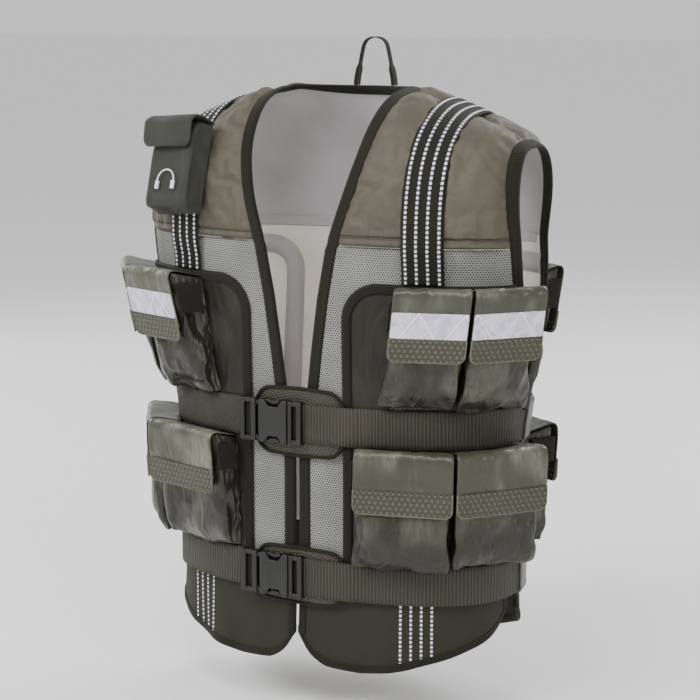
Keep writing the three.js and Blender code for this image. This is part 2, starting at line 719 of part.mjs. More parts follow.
// Height of a point over the body, along the level section's normal
function heightOver(point) {
  const { half, front, back } = section(point.z);
  const depth = point.y < 0 ? front : back;
  const across = (Math.abs(point.x) / half) ** SQUARENESS + (Math.abs(point.y) / depth) ** SQUARENESS;
  const scale = across ** (1 / SQUARENESS);
  const slopeX = ((Math.abs(point.x) / half) ** (SQUARENESS - 1) / half) * scale ** (1 - SQUARENESS);
  const slopeY = ((Math.abs(point.y) / depth) ** (SQUARENESS - 1) / depth) * scale ** (1 - SQUARENESS);
  return (scale - 1) / Math.hypot(slopeX, slopeY);
}

const SEARCH_DEPTH = 140;
function backToBody(point, inward, height) {
  let near = 0;
  let far = SEARCH_DEPTH;
  for (let k = 0; k < 40; k += 1) {
    const middle = (near + far) / 2;
    const over = heightOver(point.clone().addScaledVector(inward, middle));
    if (over > height) near = middle;
    else far = middle;
  }
  return point.clone().addScaledVector(inward, near);
}

// Frame of one pocket: across runs away from the pair's ridge
function pocketFrame(pair, hand) {
  const spot = ring(pair.place, -UPPER_BELT_DROP);
  const up = new THREE.Vector3(0, 0, 1);
  const turn = THREE.MathUtils.degToRad(pair.fan) * hand;
  const normal = spot.normal.clone().applyAxisAngle(up, turn);
  const across = new THREE.Vector3(-spot.normal.y, spot.normal.x, 0).applyAxisAngle(up, turn);
  return { ridge: spot, normal, across: across.multiplyScalar(hand) };
}

function pocketPoint(pair, hand, size, share, level, extra) {
  const frame = pocketFrame(pair, hand);
  const down = (size.top - level) / (size.top - size.base);
  const depth = mix(size.topDepth, size.baseDepth, Math.min(Math.max(down, 0), 1)) + extra;
  const start = ring(pair.place, level).point.addScaledVector(frame.ridge.normal, depth);
  const run = 2 * LAYER_GAP + share * size.width;
  const point = start.addScaledVector(frame.across, run);
  const inward = frame.ridge.normal.clone().lerp(frame.normal, share).normalize().negate();
  return { point, inward };
}

function pocketBag(pair, hand) {
  const size = pocketSize(pair.upper);
  const inner = [];
  const outer = [];
  const shares = [0, 0.06, 0.28, 0.5, 0.72, 0.94, 1];
  for (const down of [0, 0.45, 0.93, 1]) {
    const level = mix(size.top, size.base, down);
    const tuck = down < 1 ? 0 : BAG_BASE_TUCK;
    const fronts = shares.map((share) => {
      const edge = share > 0 && share < 1 ? 0 : BAG_SIDE_TUCK;
      return pocketPoint(pair, hand, size, share, level, -edge - tuck);
    });
    inner.push(fronts.map(({ point, inward }) => backToBody(point, inward, UNDER_BEND)));
    outer.push(fronts.map(({ point }) => point.setZ(level + (down ? 0 : POCKET_TOP_RISE))));
  }
  return [inner, outer];
}

function pocketFlap(pair, hand) {
  const size = pocketSize(pair.upper);
  const inner = [];
  const outer = [];
  const top = size.top + 2 * LAYER_GAP;
  const foot = top - size.flap;
  const profile = [
    { level: top, reach: 0, rise: FLAP_THICKNESS, out: 0 },
    { level: top, reach: 0.5, rise: FLAP_THICKNESS, out: 0 },
    { level: top, reach: 1, rise: FLAP_THICKNESS, out: FLAP_THICKNESS },
    { level: mix(top, foot, 0.4), reach: 1, rise: 0, out: FLAP_THICKNESS },
    { level: foot, reach: 1, rise: 0, out: FLAP_THICKNESS },
  ];
  for (const { level, reach, rise, out } of profile) {
    const lows = [];
    const highs = [];
    for (const share of steps(0, 1, Math.ceil(size.width / FACET_WIDTH))) {
      const { point, inward } = pocketPoint(pair, hand, size, share, level, LAYER_GAP);
      const low = backToBody(point, inward, UNDER_BEND).lerp(point, reach);
      low.z += level === top ? reach * POCKET_TOP_RISE : 0;
      lows.push(low);
      highs.push(low.clone().addScaledVector(inward, -out).setZ(low.z + rise));
    }
    inner.push(lows);
    outer.push(highs);
  }
  return [inner, outer];
}

const mirrorGrid = (grid) => grid.map((row) => row.map((p) => new THREE.Vector3(-p.x, p.y, p.z)));
for (const pair of PAIRS) {
  for (const side of SIDES) {
    for (const [spot, hand] of [['a', -1], ['b', 1]]) {
      const turned = side.name === 'left' ? (grid) => grid : mirrorGrid;
      const [bagIn, bagOut] = pocketBag(pair, hand).map(turned);
      piece(`${pair.name}_pocket_${side.name}_${spot}`, block(bagIn, bagOut), 'nylon');
      const [flapIn, flapOut] = pocketFlap(pair, hand).map(turned);
      piece(`${pair.name}_flap_${side.name}_${spot}`, block(flapIn, flapOut), 'flap');
    }
  }
}

// Music pouch on the wearer's right shoulder strap, with its flap over the top
function placeOnYoke(mesh, x, turn, offset) {
  const spot = arch(x, turn);
  const side = new THREE.Vector3(1, 0, 0);
  const up = spot.normal.clone().cross(side).normalize();
  const across = up.clone().cross(spot.normal).normalize();
  const basis = new THREE.Matrix4().makeBasis(across, up, spot.normal);
  mesh.quaternion.setFromRotationMatrix(basis);
  mesh.position.copy(lift(spot, offset));
}

function pouchBody() {
  const outline = new THREE.Shape();
  const corner = { x: -POUCH_WIDTH / 2, y: -POUCH_HEIGHT / 2 };
  roundedRectangle(outline, corner.x, corner.y, POUCH_WIDTH, POUCH_HEIGHT, POUCH_CORNER);
  const depth = POUCH_DEPTH;
  return new THREE.ExtrudeGeometry(outline, { depth, bevelEnabled: false, curveSegments: 3 });
}

function pouchFlap() {
  const wall = FLAP_THICKNESS;
  const top = POUCH_HEIGHT / 2 + LAYER_GAP;
  const face = POUCH_DEPTH + LAYER_GAP;
  const drop = POUCH_HEIGHT * POUCH_FLAP_SHARE;
  const profile = new THREE.Shape();
  profile.moveTo(0, top);
  profile.lineTo(face, top);
  profile.lineTo(face, top - drop);
  profile.lineTo(face + wall, top - drop);
  profile.lineTo(face + wall, top + wall);
  profile.lineTo(0, top + wall);
  const geometry = new THREE.ExtrudeGeometry(profile, { depth: POUCH_WIDTH, bevelEnabled: false });
  geometry.translate(0, 0, -POUCH_WIDTH / 2);
  geometry.rotateY(-Math.PI / 2);
  return geometry;
}

const pouchOffset = overYoke + WEBBING_THICKNESS + LAYER_GAP;
placeOnYoke(piece('music_pouch', pouchBody(), 'pouch'), -STRAP_FRONT_X, POUCH_TURN, pouchOffset);
placeOnYoke(piece('music_pouch_flap', pouchFlap(), 'pouch'), -STRAP_FRONT_X, POUCH_TURN, pouchOffset);

// Hanging loop, standing up behind the neck
function hangingLoop() {
  const seat = arch(0, backNeckTurn(0, 0)).point;
  const foot = LOOP_WIDTH / 2;
  const edge = foot + LOOP_TAPE_THICKNESS;
  const base = lift(arch(edge, backNeckTurn(edge, 0)), bindingFace).z + SEAM_GAP;
  const narrow = LOOP_WIDTH / 5;
  const rise = LOOP_HEIGHT;
  const half = [
    { x: foot, z: 0 },
    { x: foot * 0.9, z: rise * 0.25 },
    { x: mix(foot, narrow, 0.55), z: rise * 0.6 },
    { x: narrow * 1.15, z: rise * 0.86 },
    { x: narrow * 0.7, z: rise * 0.97 },
    { x: 0, z: rise },
  ];
  const path = [...half, ...half.slice(0, -1).reverse().map(({ x, z }) => ({ x: -x, z }))];
  const inner = [];
  const outer = [];
  path.forEach((spot, i) => {
    const before = path[Math.max(i - 1, 0)];
    const after = path[Math.min(i + 1, path.length - 1)];
    const along = new THREE.Vector2(after.x - before.x, after.z - before.z).normalize();
    const upright = i === 0 || i === path.length - 1;
    const out = upright ? new THREE.Vector2(Math.sign(spot.x), 0) : new THREE.Vector2(along.y, -along.x);
    const side = (shift) => [-1, 1].map((face) => new THREE.Vector3(
      spot.x + out.x * shift,
      seat.y + (face * LOOP_TAPE_WIDTH) / 2,
      base + spot.z + out.y * shift,
    ));
    inner.push(side(-LOOP_TAPE_THICKNESS / 2));
    outer.push(side(LOOP_TAPE_THICKNESS / 2));
  });
  return block(inner, outer);
}

piece('hanging_loop', hangingLoop(), 'webbing');

export default vest;
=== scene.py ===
"""Weighted training vest: cloth, padding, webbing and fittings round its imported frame."""

import math
from functools import lru_cache

import bmesh
import bpy
import numpy as np
from bpy.props import FloatProperty, FloatVectorProperty, IntProperty, PointerProperty
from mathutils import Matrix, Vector, noise


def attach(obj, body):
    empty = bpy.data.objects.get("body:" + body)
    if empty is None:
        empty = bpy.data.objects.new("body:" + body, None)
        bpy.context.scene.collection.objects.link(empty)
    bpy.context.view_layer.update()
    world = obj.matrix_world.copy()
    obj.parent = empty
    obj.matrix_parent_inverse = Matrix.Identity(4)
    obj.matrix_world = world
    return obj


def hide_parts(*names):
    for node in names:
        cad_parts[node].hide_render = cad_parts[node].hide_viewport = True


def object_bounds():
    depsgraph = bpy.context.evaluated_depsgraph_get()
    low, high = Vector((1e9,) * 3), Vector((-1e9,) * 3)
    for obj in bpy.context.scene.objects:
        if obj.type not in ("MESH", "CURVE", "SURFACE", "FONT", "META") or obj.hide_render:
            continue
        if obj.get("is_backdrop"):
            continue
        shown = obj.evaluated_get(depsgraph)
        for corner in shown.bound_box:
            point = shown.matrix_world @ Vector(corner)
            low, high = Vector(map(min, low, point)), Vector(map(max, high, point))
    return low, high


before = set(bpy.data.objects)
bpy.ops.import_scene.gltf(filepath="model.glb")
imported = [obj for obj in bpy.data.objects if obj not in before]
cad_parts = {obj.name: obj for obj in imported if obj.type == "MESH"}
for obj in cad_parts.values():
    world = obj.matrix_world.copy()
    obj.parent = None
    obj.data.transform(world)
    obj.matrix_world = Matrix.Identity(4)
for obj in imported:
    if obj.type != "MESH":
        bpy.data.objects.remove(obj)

bl_info = {
    "name": "Weighted vest", "version": (1, 0, 0), "blender": (4, 5, 0),
    "location": "View3D > Sidebar > Vest",
    "description": "Builds the cloth, padding, webbing and fittings of a weighted vest",
    "category": "Object"
}

# Sizes of the frame, in millimetres. The front faces -Y and the wearer's left is +X.
MM = 0.001
CHEST_HALF_WIDTH, CHEST_FRONT, CHEST_BACK = 229, 110, 107
WAIST_HALF_WIDTH, WAIST_FRONT, WAIST_BACK = 190, 106, 100
SQUARENESS = 2.4
NECK_HALF_WIDTH, NECK_RISE, NAPE_RISE, BACK_NECK_TURN = 70, 29, 46, 20
FRONT_NECK_HALF_WIDTH, SHOULDER_HALF_WIDTH, SHOULDER_FALL = 36, 215, 26
YOKE_HEM_DROP, POCKET_PANEL_DROP, UPPER_BELT_DROP = 122, 158, 306
LOWER_BELT_DROP, HEM_DROP = 468, 566
ARMHOLE_FRONT_REACH, ARMHOLE_BACK_REACH, FRONT_GAP = 42, 72, 4
MESH_THICKNESS, YOKE_THICKNESS, PANEL_THICKNESS, SKIRT_THICKNESS = 2.5, 8, 1.5, 2.5
BINDING_WIDTH, WEBBING_THICKNESS, BELT_WIDTH, STRAP_WIDTH = 10, 2, 40, 40
STRAP_FRONT_X, STRAP_BACK_X, TAIL_LENGTH, TAIL_WIDTH = 138, 126, 105, 36
PANEL_INNER_X, PANEL_CORNER, POCKET_TOP_RISE, FLAP_THICKNESS = 54, 40, 9, 2.5
BUCKLE_LENGTH, BUCKLE_X = 75, -24
TAB_LENGTH, TAB_X, TAB_THICKNESS = 104, 5, 3
POUCH_WIDTH, POUCH_HEIGHT, POUCH_DEPTH, POUCH_TURN = 64, 92, 26, 36
LOOP_WIDTH, LOOP_HEIGHT = 44, 50
LAYER_GAP, SEAM_GAP = 0.8, 0.7
HEM_LEVEL = -YOKE_HEM_DROP
ARMHOLE_FOOT = -282.8
PANEL_FACE, OVER_PANEL, UNDER_BEND, OVER_TAB, OVER_YOKE = 3.3, 5.6, 5.85, 9.4, 8.8
INSET = BINDING_WIDTH + SEAM_GAP
SKIRT_DROP = HEM_DROP - LOWER_BELT_DROP

# Sizes that only the scene has, in millimetres
CORD_X = 128
INSIDE_TAPE_WIDTH, INSIDE_TAPE_TOP, INSIDE_TAPE_X, INSIDE_HEM_FOOT = 20, -140, 114, -129
PANEL_ROLL_WIDTH, PANEL_ROLL_LOW = 11, 4.85
FLAP_BEND, TAB_CORNER, TAB_INSET = 11, 8, 1.2
HEM_SEAM_RISE, STRAP_STITCH_MARGIN, LOOP_OVERLAP = 10, 2, 7
FASTENER_DROP, FASTENER_UPPER_FOOT, FASTENER_LOWER_FOOT = 4, 34, 30
RIM_RADIUS, PIPING_RADIUS = 2.1, 0.95

# Shares of a quarter of the body: half the skirts' side seam, and the belt's rise over a tab
SKIRT_SEAM_SHARE, BELT_RAMP = 0.03, 0.06

# Places round the body: the belt's free end and the adjuster
TAIL_PLACE, ADJUSTER_PLACE = -1.04, 1.02

# Share of a shoulder strap's length that hangs below the yoke at each end
STRAP_END_SHARE = 0.075

# Belts: name, drop below the shoulders, and height of the tab behind the buckle
BELTS = (("upper", UPPER_BELT_DROP, 70), ("lower", LOWER_BELT_DROP, 58))

# Pockets: width, depth at the top, depth at the base, and length of the flap
UPPER_POCKET, LOWER_POCKET = (78, 54, 36, 64), (103, 50, 42, 56)

# Loops over each belt: name, place round the body and width
BELT_LOOPS = (("centre", 2, 44), ("left", 1.1, 30), ("right", -1.1, 30))

# Rolled tapes: width, middle above the body and half thickness
EDGE_ROLL = (BINDING_WIDTH + 4, 1.35, 2.6)
HEM_ROLL = (9, 1.25, 2.3)

# Outlines in x and z from a buckle's middle: the upper half of its socket, and the arm of a prong
SOCKET = [(-13, 22), (-7, 23), (-4, 20), (-1, 15.5), (10, 15.5), (13, 20), (15, 23), (21, 23)]
PRONG_ARM = [
    (-18, 14), (-14, 18), (-7, 20.5), (0, 18.5), (4, 17.8), (9, 18.6), (12, 21), (10, 22.6), (4, 21.6),
    (-2, 22.4), (-10, 22.6), (-18, 20)
]

# Lengths on the cloth in metres: from one stitch to the next, and the shares of it where a stitch fades in
STITCH_PITCH, STITCH_START = 0.0034, (0.12, 0.24)

# Camera and floor, in metres, and the studio's lamps: name, place, size and power in watts
AIM, CAMERA_DISTANCE, CAMERA_LENS = Vector((0, 0, -0.248)), 2.2, 106
FLOOR_LEVEL, FLOOR_REACH = -0.62, 40
LAMPS = (
    ("key", (-1.3, -2.1, 1.5), 1.0, 58), ("fill", (2.4, -1.4, 0.5), 1.4, 26),
    ("back", (0.6, 2.4, 1.4), 1.4, 46), ("side", (-2.4, 0.8, 0.6), 1.4, 24),
    ("inside", (0.3, -0.9, 0.75), 0.35, 7)
)

# Tables of shares, each a row of places and a row of values
GIRTH = ((0, 0.24, 0.38, 0.54, 0.65, 1), (0, 0.05, 0.4, 0.93, 1, 1))
NECK_EDGE = ((0, 0.27, 0.5, 0.75, 1), (0, 0.46, 0.78, 0.95, 1))
FRONT_EDGE = ((0, 0.3, 0.6, 0.85, 1), (1, 0.68, 0.45, 0.28, 0))
ARMHOLE_FRONT = ((0, 0.22, 0.5, 0.8, 1), (1, 0.84, 0.45, 0.2, 0.12))
ARMHOLE_BACK = ((0, 0.22, 0.5, 0.8, 1), (1, 0.86, 0.62, 0.34, 0.12))
FRONT_HEM = (
    (0, 0.06, 0.13, 0.3, 0.5, 0.7, 0.88, 0.94, 0.97), (0.6, 0.85, 0.97, 1, 0.92, 0.76, 0.58, 0.48, 0.3)
)
BACK_HEM = ((1.03, 1.07, 1.15, 1.4, 1.7, 2), (0.36, 0.52, 0.62, 0.84, 1, 1))
SIDES = (("left", 1), ("right", -1))

# A pair of pockets: place of its ridge, fan of its two fronts in degrees, and whether it is an upper one
PAIRS = {
    "upper_front": (0.66, 17, True), "upper_back": (1.58, 14, True), "lower_front": (0.66, 20, False),
    "lower_back": (1.58, 16, False)
}


def mix(low, high, share):
    return low + (high - low) * share


def clamp(value, low=0.0, high=1.0):
    return min(max(value, low), high)


def ease(value, low=0.0, high=1.0):
    """0 below low and 1 above high, with a smooth rise between them."""
    share = clamp((value - low) / (high - low))
    return share * share * (3 - 2 * share)


def lookup(table, at, blur=0.04):
    """Value of a table of shares, rounded off at its corners."""
    spots = [at + blur * k for k in (-1, -0.5, 0, 0.5, 1)]
    return float(np.mean(np.interp(spots, *table)))


def unit(vector):
    return vector / max(float(np.linalg.norm(vector)), 1e-9)


@lru_cache(maxsize=None)
def section(level):
    """Half width, front depth and back depth of the body at a level."""
    waist = lookup(GIRTH, -level / HEM_DROP)
    return (
        mix(CHEST_HALF_WIDTH, WAIST_HALF_WIDTH, waist), mix(CHEST_FRONT, WAIST_FRONT, waist),
        mix(CHEST_BACK, WAIST_BACK, waist)
    )


@lru_cache(maxsize=None)
def quarter(half, depth):
    """A quarter of a level section from the centre line to the side: x, y and length so far."""
    angle = np.linspace(0, math.pi / 2, 161)
    x = half * np.sin(angle) ** (2 / SQUARENESS)
    y = depth * np.clip(np.cos(angle), 0, 1) ** (2 / SQUARENESS)
    run = np.concatenate([[0], np.cumsum(np.hypot(np.diff(x), np.diff(y)))])
    return x, y, run


def ring(place, level):
    """Point and outward normal round the body: place 0 is the front centre, 1 the side and 2 behind."""
    wrapped = (place + 2) % 4 - 2
    side = -1 if wrapped < 0 else 1
    around = abs(wrapped)
    half, front, back = section(round(level, 3))
    depth = front if around <= 1 else back
    share = around if around <= 1 else 2 - around
    face = -1 if around <= 1 else 1
    xs, ys, runs = quarter(half, depth)
    x = float(np.interp(share * runs[-1], runs, xs))
    y = float(np.interp(share * runs[-1], runs, ys))
    power = SQUARENESS - 1
    normal = np.array([side * (x / half) ** power / half, face * (y / depth) ** power / depth, 0])
    return np.array([side * x, face * y, level]), unit(normal)


def quarter_length(level, back=False):
    half, front, rear = section(round(level, 3))
    return quarter(half, rear if back else front)[2][-1]


def front_place(x, level):
    half, front, _ = section(round(level, 3))
    xs, _, runs = quarter(half, front)
    return math.copysign(float(np.interp(abs(x), xs, runs)) / runs[-1], x)


def back_place(x, level):
    half, _, back = section(round(level, 3))
    xs, _, runs = quarter(half, back)
    return 2 - math.copysign(float(np.interp(abs(x), xs, runs)) / runs[-1], x)


def arch_point(x, turn):
    """Point on the yokes: turn is 0 at the front hem, 90 at the shoulder ridge and 180 at the back hem."""
    half, front, back = section(HEM_LEVEL)
    depth = front if turn < 90 else back
    reach = depth * max(1 - (abs(x) / half) ** SQUARENESS, 0) ** (1 / SQUARENESS)
    out = clamp((abs(x) - NECK_HALF_WIDTH) / (SHOULDER_HALF_WIDTH - NECK_HALF_WIDTH))
    inside = math.cos(math.pi / 2 * min(abs(x) / NECK_HALF_WIDTH, 1)) ** 2
    height = YOKE_HEM_DROP + mix(NECK_RISE, -SHOULDER_FALL, out)
    height += (NAPE_RISE - NECK_RISE) * inside
    power = mix(2.3, 2.9, out)
    angle = math.radians(turn)
    along, up = abs(math.cos(angle)) / reach, math.sin(angle) / height
    radius = (along**power + up**power) ** (-1 / power)
    return np.array([x, -radius * math.cos(angle), HEM_LEVEL + radius * math.sin(angle)])


def arch(x, turn):
    low = clamp(turn, 0.5, 179.5)
    across = arch_point(x + 0.5, turn) - arch_point(x - 0.5, turn)
    over = arch_point(x, low + 0.5) - arch_point(x, low - 0.5)
    return arch_point(x, turn), unit(np.cross(across, over))


def neck_edge(turn):
    share = lookup(NECK_EDGE, turn / 90, 0.06)
    return mix(FRONT_NECK_HALF_WIDTH, NECK_HALF_WIDTH, share)


def front_edge(level):
    down = (HEM_LEVEL - level) / (UPPER_BELT_DROP - YOKE_HEM_DROP)
    return mix(FRONT_GAP / 2, FRONT_NECK_HALF_WIDTH, lookup(FRONT_EDGE, down, 0.03))


def armhole_place(level, back, inset):
    down = (level - HEM_LEVEL) / (ARMHOLE_FOOT - HEM_LEVEL)
    reach = ARMHOLE_BACK_REACH if back else ARMHOLE_FRONT_REACH
    share = lookup(ARMHOLE_BACK if back else ARMHOLE_FRONT, down, 0.06)
    away = (reach * share + inset) / quarter_length(level, back)
    return 1 + away if back else 1 - away


def armhole_x(turn, inset):
    foot = ring(armhole_place(HEM_LEVEL, turn > 90, inset), HEM_LEVEL)[0][0]
    rise = math.sin(math.radians(turn)) ** 1.5
    return mix(foot, SHOULDER_HALF_WIDTH - inset, rise)


def back_neck_turn(x, inset):
    share = min(abs(x) / (NECK_HALF_WIDTH + inset), 1)
    drop = math.degrees(inset / (YOKE_HEM_DROP + NAPE_RISE))
    return 90 + (BACK_NECK_TURN + drop) * (1 - share**2.2)


def mirrored(spot, side):
    """The spot itself on the wearer's left, and its mirror image on the right."""
    point, normal = spot
    flip = np.array([side, 1, 1])
    return point * flip, normal * flip


def mirrored_path(path, side):
    return [lambda u, f=f: mirrored(f(u), side) for f in path]


def lengths(points):
    """Length so far at each point of a line."""
    steps = np.linalg.norm(np.diff(points, axis=0), axis=1)
    return np.concatenate([[0], np.cumsum(steps)])


def value_at(offset, u, v):
    return offset(u, v) if callable(offset) else offset


def slab(mesh, columns, rows, spot, inner, outer, lining=0):
    """Adds a closed sheet over spot(u, v) between two heights above it, with real lengths on its UV map."""
    layers = mesh.loops.layers.uv
    uv = layers.get("UVMap") or layers.new("UVMap")
    made = bmesh.ops.create_grid(mesh, x_segments=columns, y_segments=rows, size=0.5, calc_uvs=True)
    low = set(made["verts"])
    faces = list({face for corner in low for face in corner.link_faces})
    grown = bmesh.ops.extrude_face_region(mesh, geom=faces)["geom"]
    high = {item for item in grown if isinstance(item, bmesh.types.BMVert)}
    keys, spots = {}, {}
    for corner in low | high:
        u, v = corner.co.x + 0.5, corner.co.y + 0.5
        keys[corner] = (round(v * rows), round(u * columns))
        if keys[corner] not in spots:
            spots[keys[corner]] = spot(keys[corner][1] / columns, keys[corner][0] / rows)
    base = np.zeros((rows + 1, columns + 1, 3))
    for (j, i), (point, _) in spots.items():
        base[j, i] = point
    across = np.linalg.norm(np.diff(base, axis=1), axis=2).cumsum(axis=1)
    across = np.concatenate([np.zeros((rows + 1, 1)), across], axis=1)
    across -= (across[:, columns // 2] + across[:, (columns + 1) // 2])[:, None] / 2
    along = np.linalg.norm(np.diff(base, axis=0), axis=2).cumsum(axis=0)
    along = np.concatenate([np.zeros((1, columns + 1)), along], axis=0)
    new_faces = {face for corner in low | high for face in corner.link_faces}
    for corner, (j, i) in keys.items():
        point, normal = spots[j, i]
        offset = value_at(outer if corner in high else inner, i / columns, j / rows)
        corner.co = Vector((point + normal * offset) * MM)
    for face in new_faces:
        face.smooth = True
        face.material_index = lining if all(corner in low for corner in face.verts) else 0
        for loop in face.loops:
            j, i = keys[loop.vert]
            loop[uv].uv = (across[j, i] * MM, along[j, i] * MM)
    return {
        "low": low, "high": high, "keys": keys, "flat": (across[:, -1] - across[:, 0]).max() * MM,
        "long": along[-1].max() * MM
    }


def strip(mesh, stations, inner, outer, columns=6):
    """A slab whose rows are stations, each a function from the share across to a spot."""
    rows = len(stations) - 1
    return slab(mesh, columns, rows, lambda u, v: stations[round(v * rows)](u), inner, outer)


def tube(mesh, points, radius, sides=8, kind=0):
    """Adds a round cord along points, in millimetres, with closed ends."""
    points = [np.array(point, float) for point in points]
    rows = len(points) - 1
    made = bmesh.ops.create_grid(mesh, x_segments=sides, y_segments=rows, size=0.5)
    frames = []
    side = None
    for k, point in enumerate(points):
        run = unit(points[min(k + 1, rows)] - points[max(k - 1, 0)])
        if side is None:
            side = unit(np.cross(run, [0.31, 0.27, 0.91]))
        side = unit(side - run * float(side @ run))
        frames.append((point, side, np.cross(run, side)))
    for corner in made["verts"]:
        share, v = corner.co.x + 0.5, corner.co.y + 0.5
        point, x, y = frames[round(v * rows)]
        angle = 2 * math.pi * round(share * sides) / sides
        corner.co = Vector((point + (x * math.cos(angle) + y * math.sin(angle)) * radius) * MM)
    faces = {face for corner in made["verts"] for face in corner.link_faces}
    bmesh.ops.remove_doubles(mesh, verts=made["verts"], dist=1e-7)
    left = [face for face in faces if face.is_valid]
    open_edges = list({e for face in left for e in face.edges if e.is_boundary})
    caps = bmesh.ops.holes_fill(mesh, edges=open_edges, sides=sides)["faces"]
    for face in left + caps:
        face.smooth = True
        face.material_index = kind


def block(cuts):
    """A cube of side 1 with even cuts."""
    mesh = bmesh.new()
    bmesh.ops.create_cube(mesh, size=1)
    bmesh.ops.subdivide_edges(mesh, edges=mesh.edges[:], cuts=cuts, use_grid_fill=True)
    for face in mesh.faces:
        face.smooth = True
    return mesh


def piece(name, mesh, looks, node=None, subdivide=0, sharp=None):
    """Turns the bmesh into an object that rides on the frame and may stand for a CAD node."""
    bmesh.ops.recalc_face_normals(mesh, faces=mesh.faces[:])
    data = bpy.data.meshes.new(name)
    mesh.to_mesh(data)
    mesh.free()
    for look in looks:
        data.materials.append(look)
    if sharp:
        data.set_sharp_from_angle(angle=math.radians(sharp))
    made = bpy.data.objects.new(name, data)
    bpy.context.scene.collection.objects.link(made)
    if subdivide:
        smooth = made.modifiers.new("Subdivision", "SUBSURF")
        smooth.levels = subdivide
        smooth.render_levels = subdivide
    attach(made, "root")
    if node:
        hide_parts(node)
    return made


def corners_of(made):
    found = np.zeros(len(made.data.vertices) * 3)
    made.data.vertices.foreach_get("co", found)
    return found.reshape(-1, 3)


def inflate(made, held, pressure, slack, cap, frames=20):
    """Swells the cloth while its held corners stay. cap is the most that a corner moves, in millimetres."""
    rest = corners_of(made)
    group = made.vertex_groups.new(name="held")
    group.add([k for k, hold in enumerate(held) if hold], 1.0, "REPLACE")
    finishing = list(made.modifiers)
    for modifier in finishing:
        modifier.show_viewport = False
    cloth = made.modifiers.new("Cloth", "CLOTH")
    settings = cloth.settings
    settings.quality = 6
    settings.mass = 0.2
    settings.tension_stiffness = settings.compression_stiffness = 12
    settings.shear_stiffness = 6
    settings.bending_stiffness = 0.08
    settings.use_pressure = True
    settings.uniform_pressure_force = pressure
    settings.shrink_min = -slack
    settings.effector_weights.gravity = 0
    settings.vertex_group_mass = "held"
    cloth.collision_settings.use_collision = False
    cloth.point_cache.frame_start = 1
    cloth.point_cache.frame_end = frames
    for number in range(1, frames + 1):
        bpy.context.scene.frame_set(number)
    shown = made.evaluated_get(bpy.context.evaluated_depsgraph_get())
    moved = np.zeros(len(shown.data.vertices) * 3)
    shown.data.vertices.foreach_get("co", moved)
    made.modifiers.remove(cloth)
    made.vertex_groups.remove(group)
    bpy.context.scene.frame_set(1)
    move = moved.reshape(-1, 3) - rest
    length = np.linalg.norm(move, axis=1, keepdims=True)
    cap = np.asarray(cap).reshape(-1, 1) * MM
    settled = rest + move * np.minimum(1, cap / np.maximum(length, 1e-9))
    made.data.vertices.foreach_set("co", settled.ravel())
    made.data.update()
    for modifier in finishing:
        modifier.show_viewport = True


def crumple(made, depth, size, seed, share=None, stretch=(1, 1, 1)):
    """Moves corners along their normals by folds of a given size, with sharper crests than valleys."""
    made.data.update()
    shift = Vector((seed * 7.3, seed * 3.1, seed * 5.7))
    for k, corner in enumerate(made.data.vertices):
        weight = 1 if share is None else share[k]
        if weight <= 0:
            continue
        spot = corner.co / (size * MM)
        spot = Vector((spot.x * stretch[0], spot.y * stretch[1], spot.z * stretch[2]))
        bend = noise.noise_vector(spot * 0.6 + shift) * 0.7
        fold = 1 - 2 * abs(noise.noise(spot + bend + shift))
        corner.co += corner.normal * (fold - 0.6) * depth * MM * weight
    made.data.update()


# Materials
class Value:
    """A number that changes over a surface. Sums and products of it add Math nodes."""

    def __init__(self, look, socket):
        self.look, self.socket = look, socket

    def math(self, operation, *others):
        node = self.look.node("ShaderNodeMath", {"operation": operation})
        for k, given in enumerate((self, *others)):
            self.look.feed(node.inputs[k], given)
        return Value(self.look, node.outputs[0])

    def __add__(self, other):
        return self.math("ADD", other)

    def __sub__(self, other):
        return self.math("SUBTRACT", other)

    def __mul__(self, other):
        return self.math("MULTIPLY", other)

    def __truediv__(self, other):
        return self.math("DIVIDE", other)

    def __rsub__(self, other):
        return (self * -1) + other

    def __abs__(self):
        return self.math("ABSOLUTE")

    __radd__ = __add__

    def fraction(self):
        return self.math("FRACT")

    def wave(self, pitch):
        """0 to 1 and back once in each pitch."""
        return (self * (2 * math.pi / pitch)).math("SINE") * 0.5 + 0.5

    def rise(self, low, high):
        """0 at low and 1 at high, or the other way if low is the greater."""
        node = self.look.node(
            "ShaderNodeMapRange", {"interpolation_type": "SMOOTHSTEP"},
            {"Value": self, "From Min": low, "From Max": high}
        )
        return Value(self.look, node.outputs["Result"])


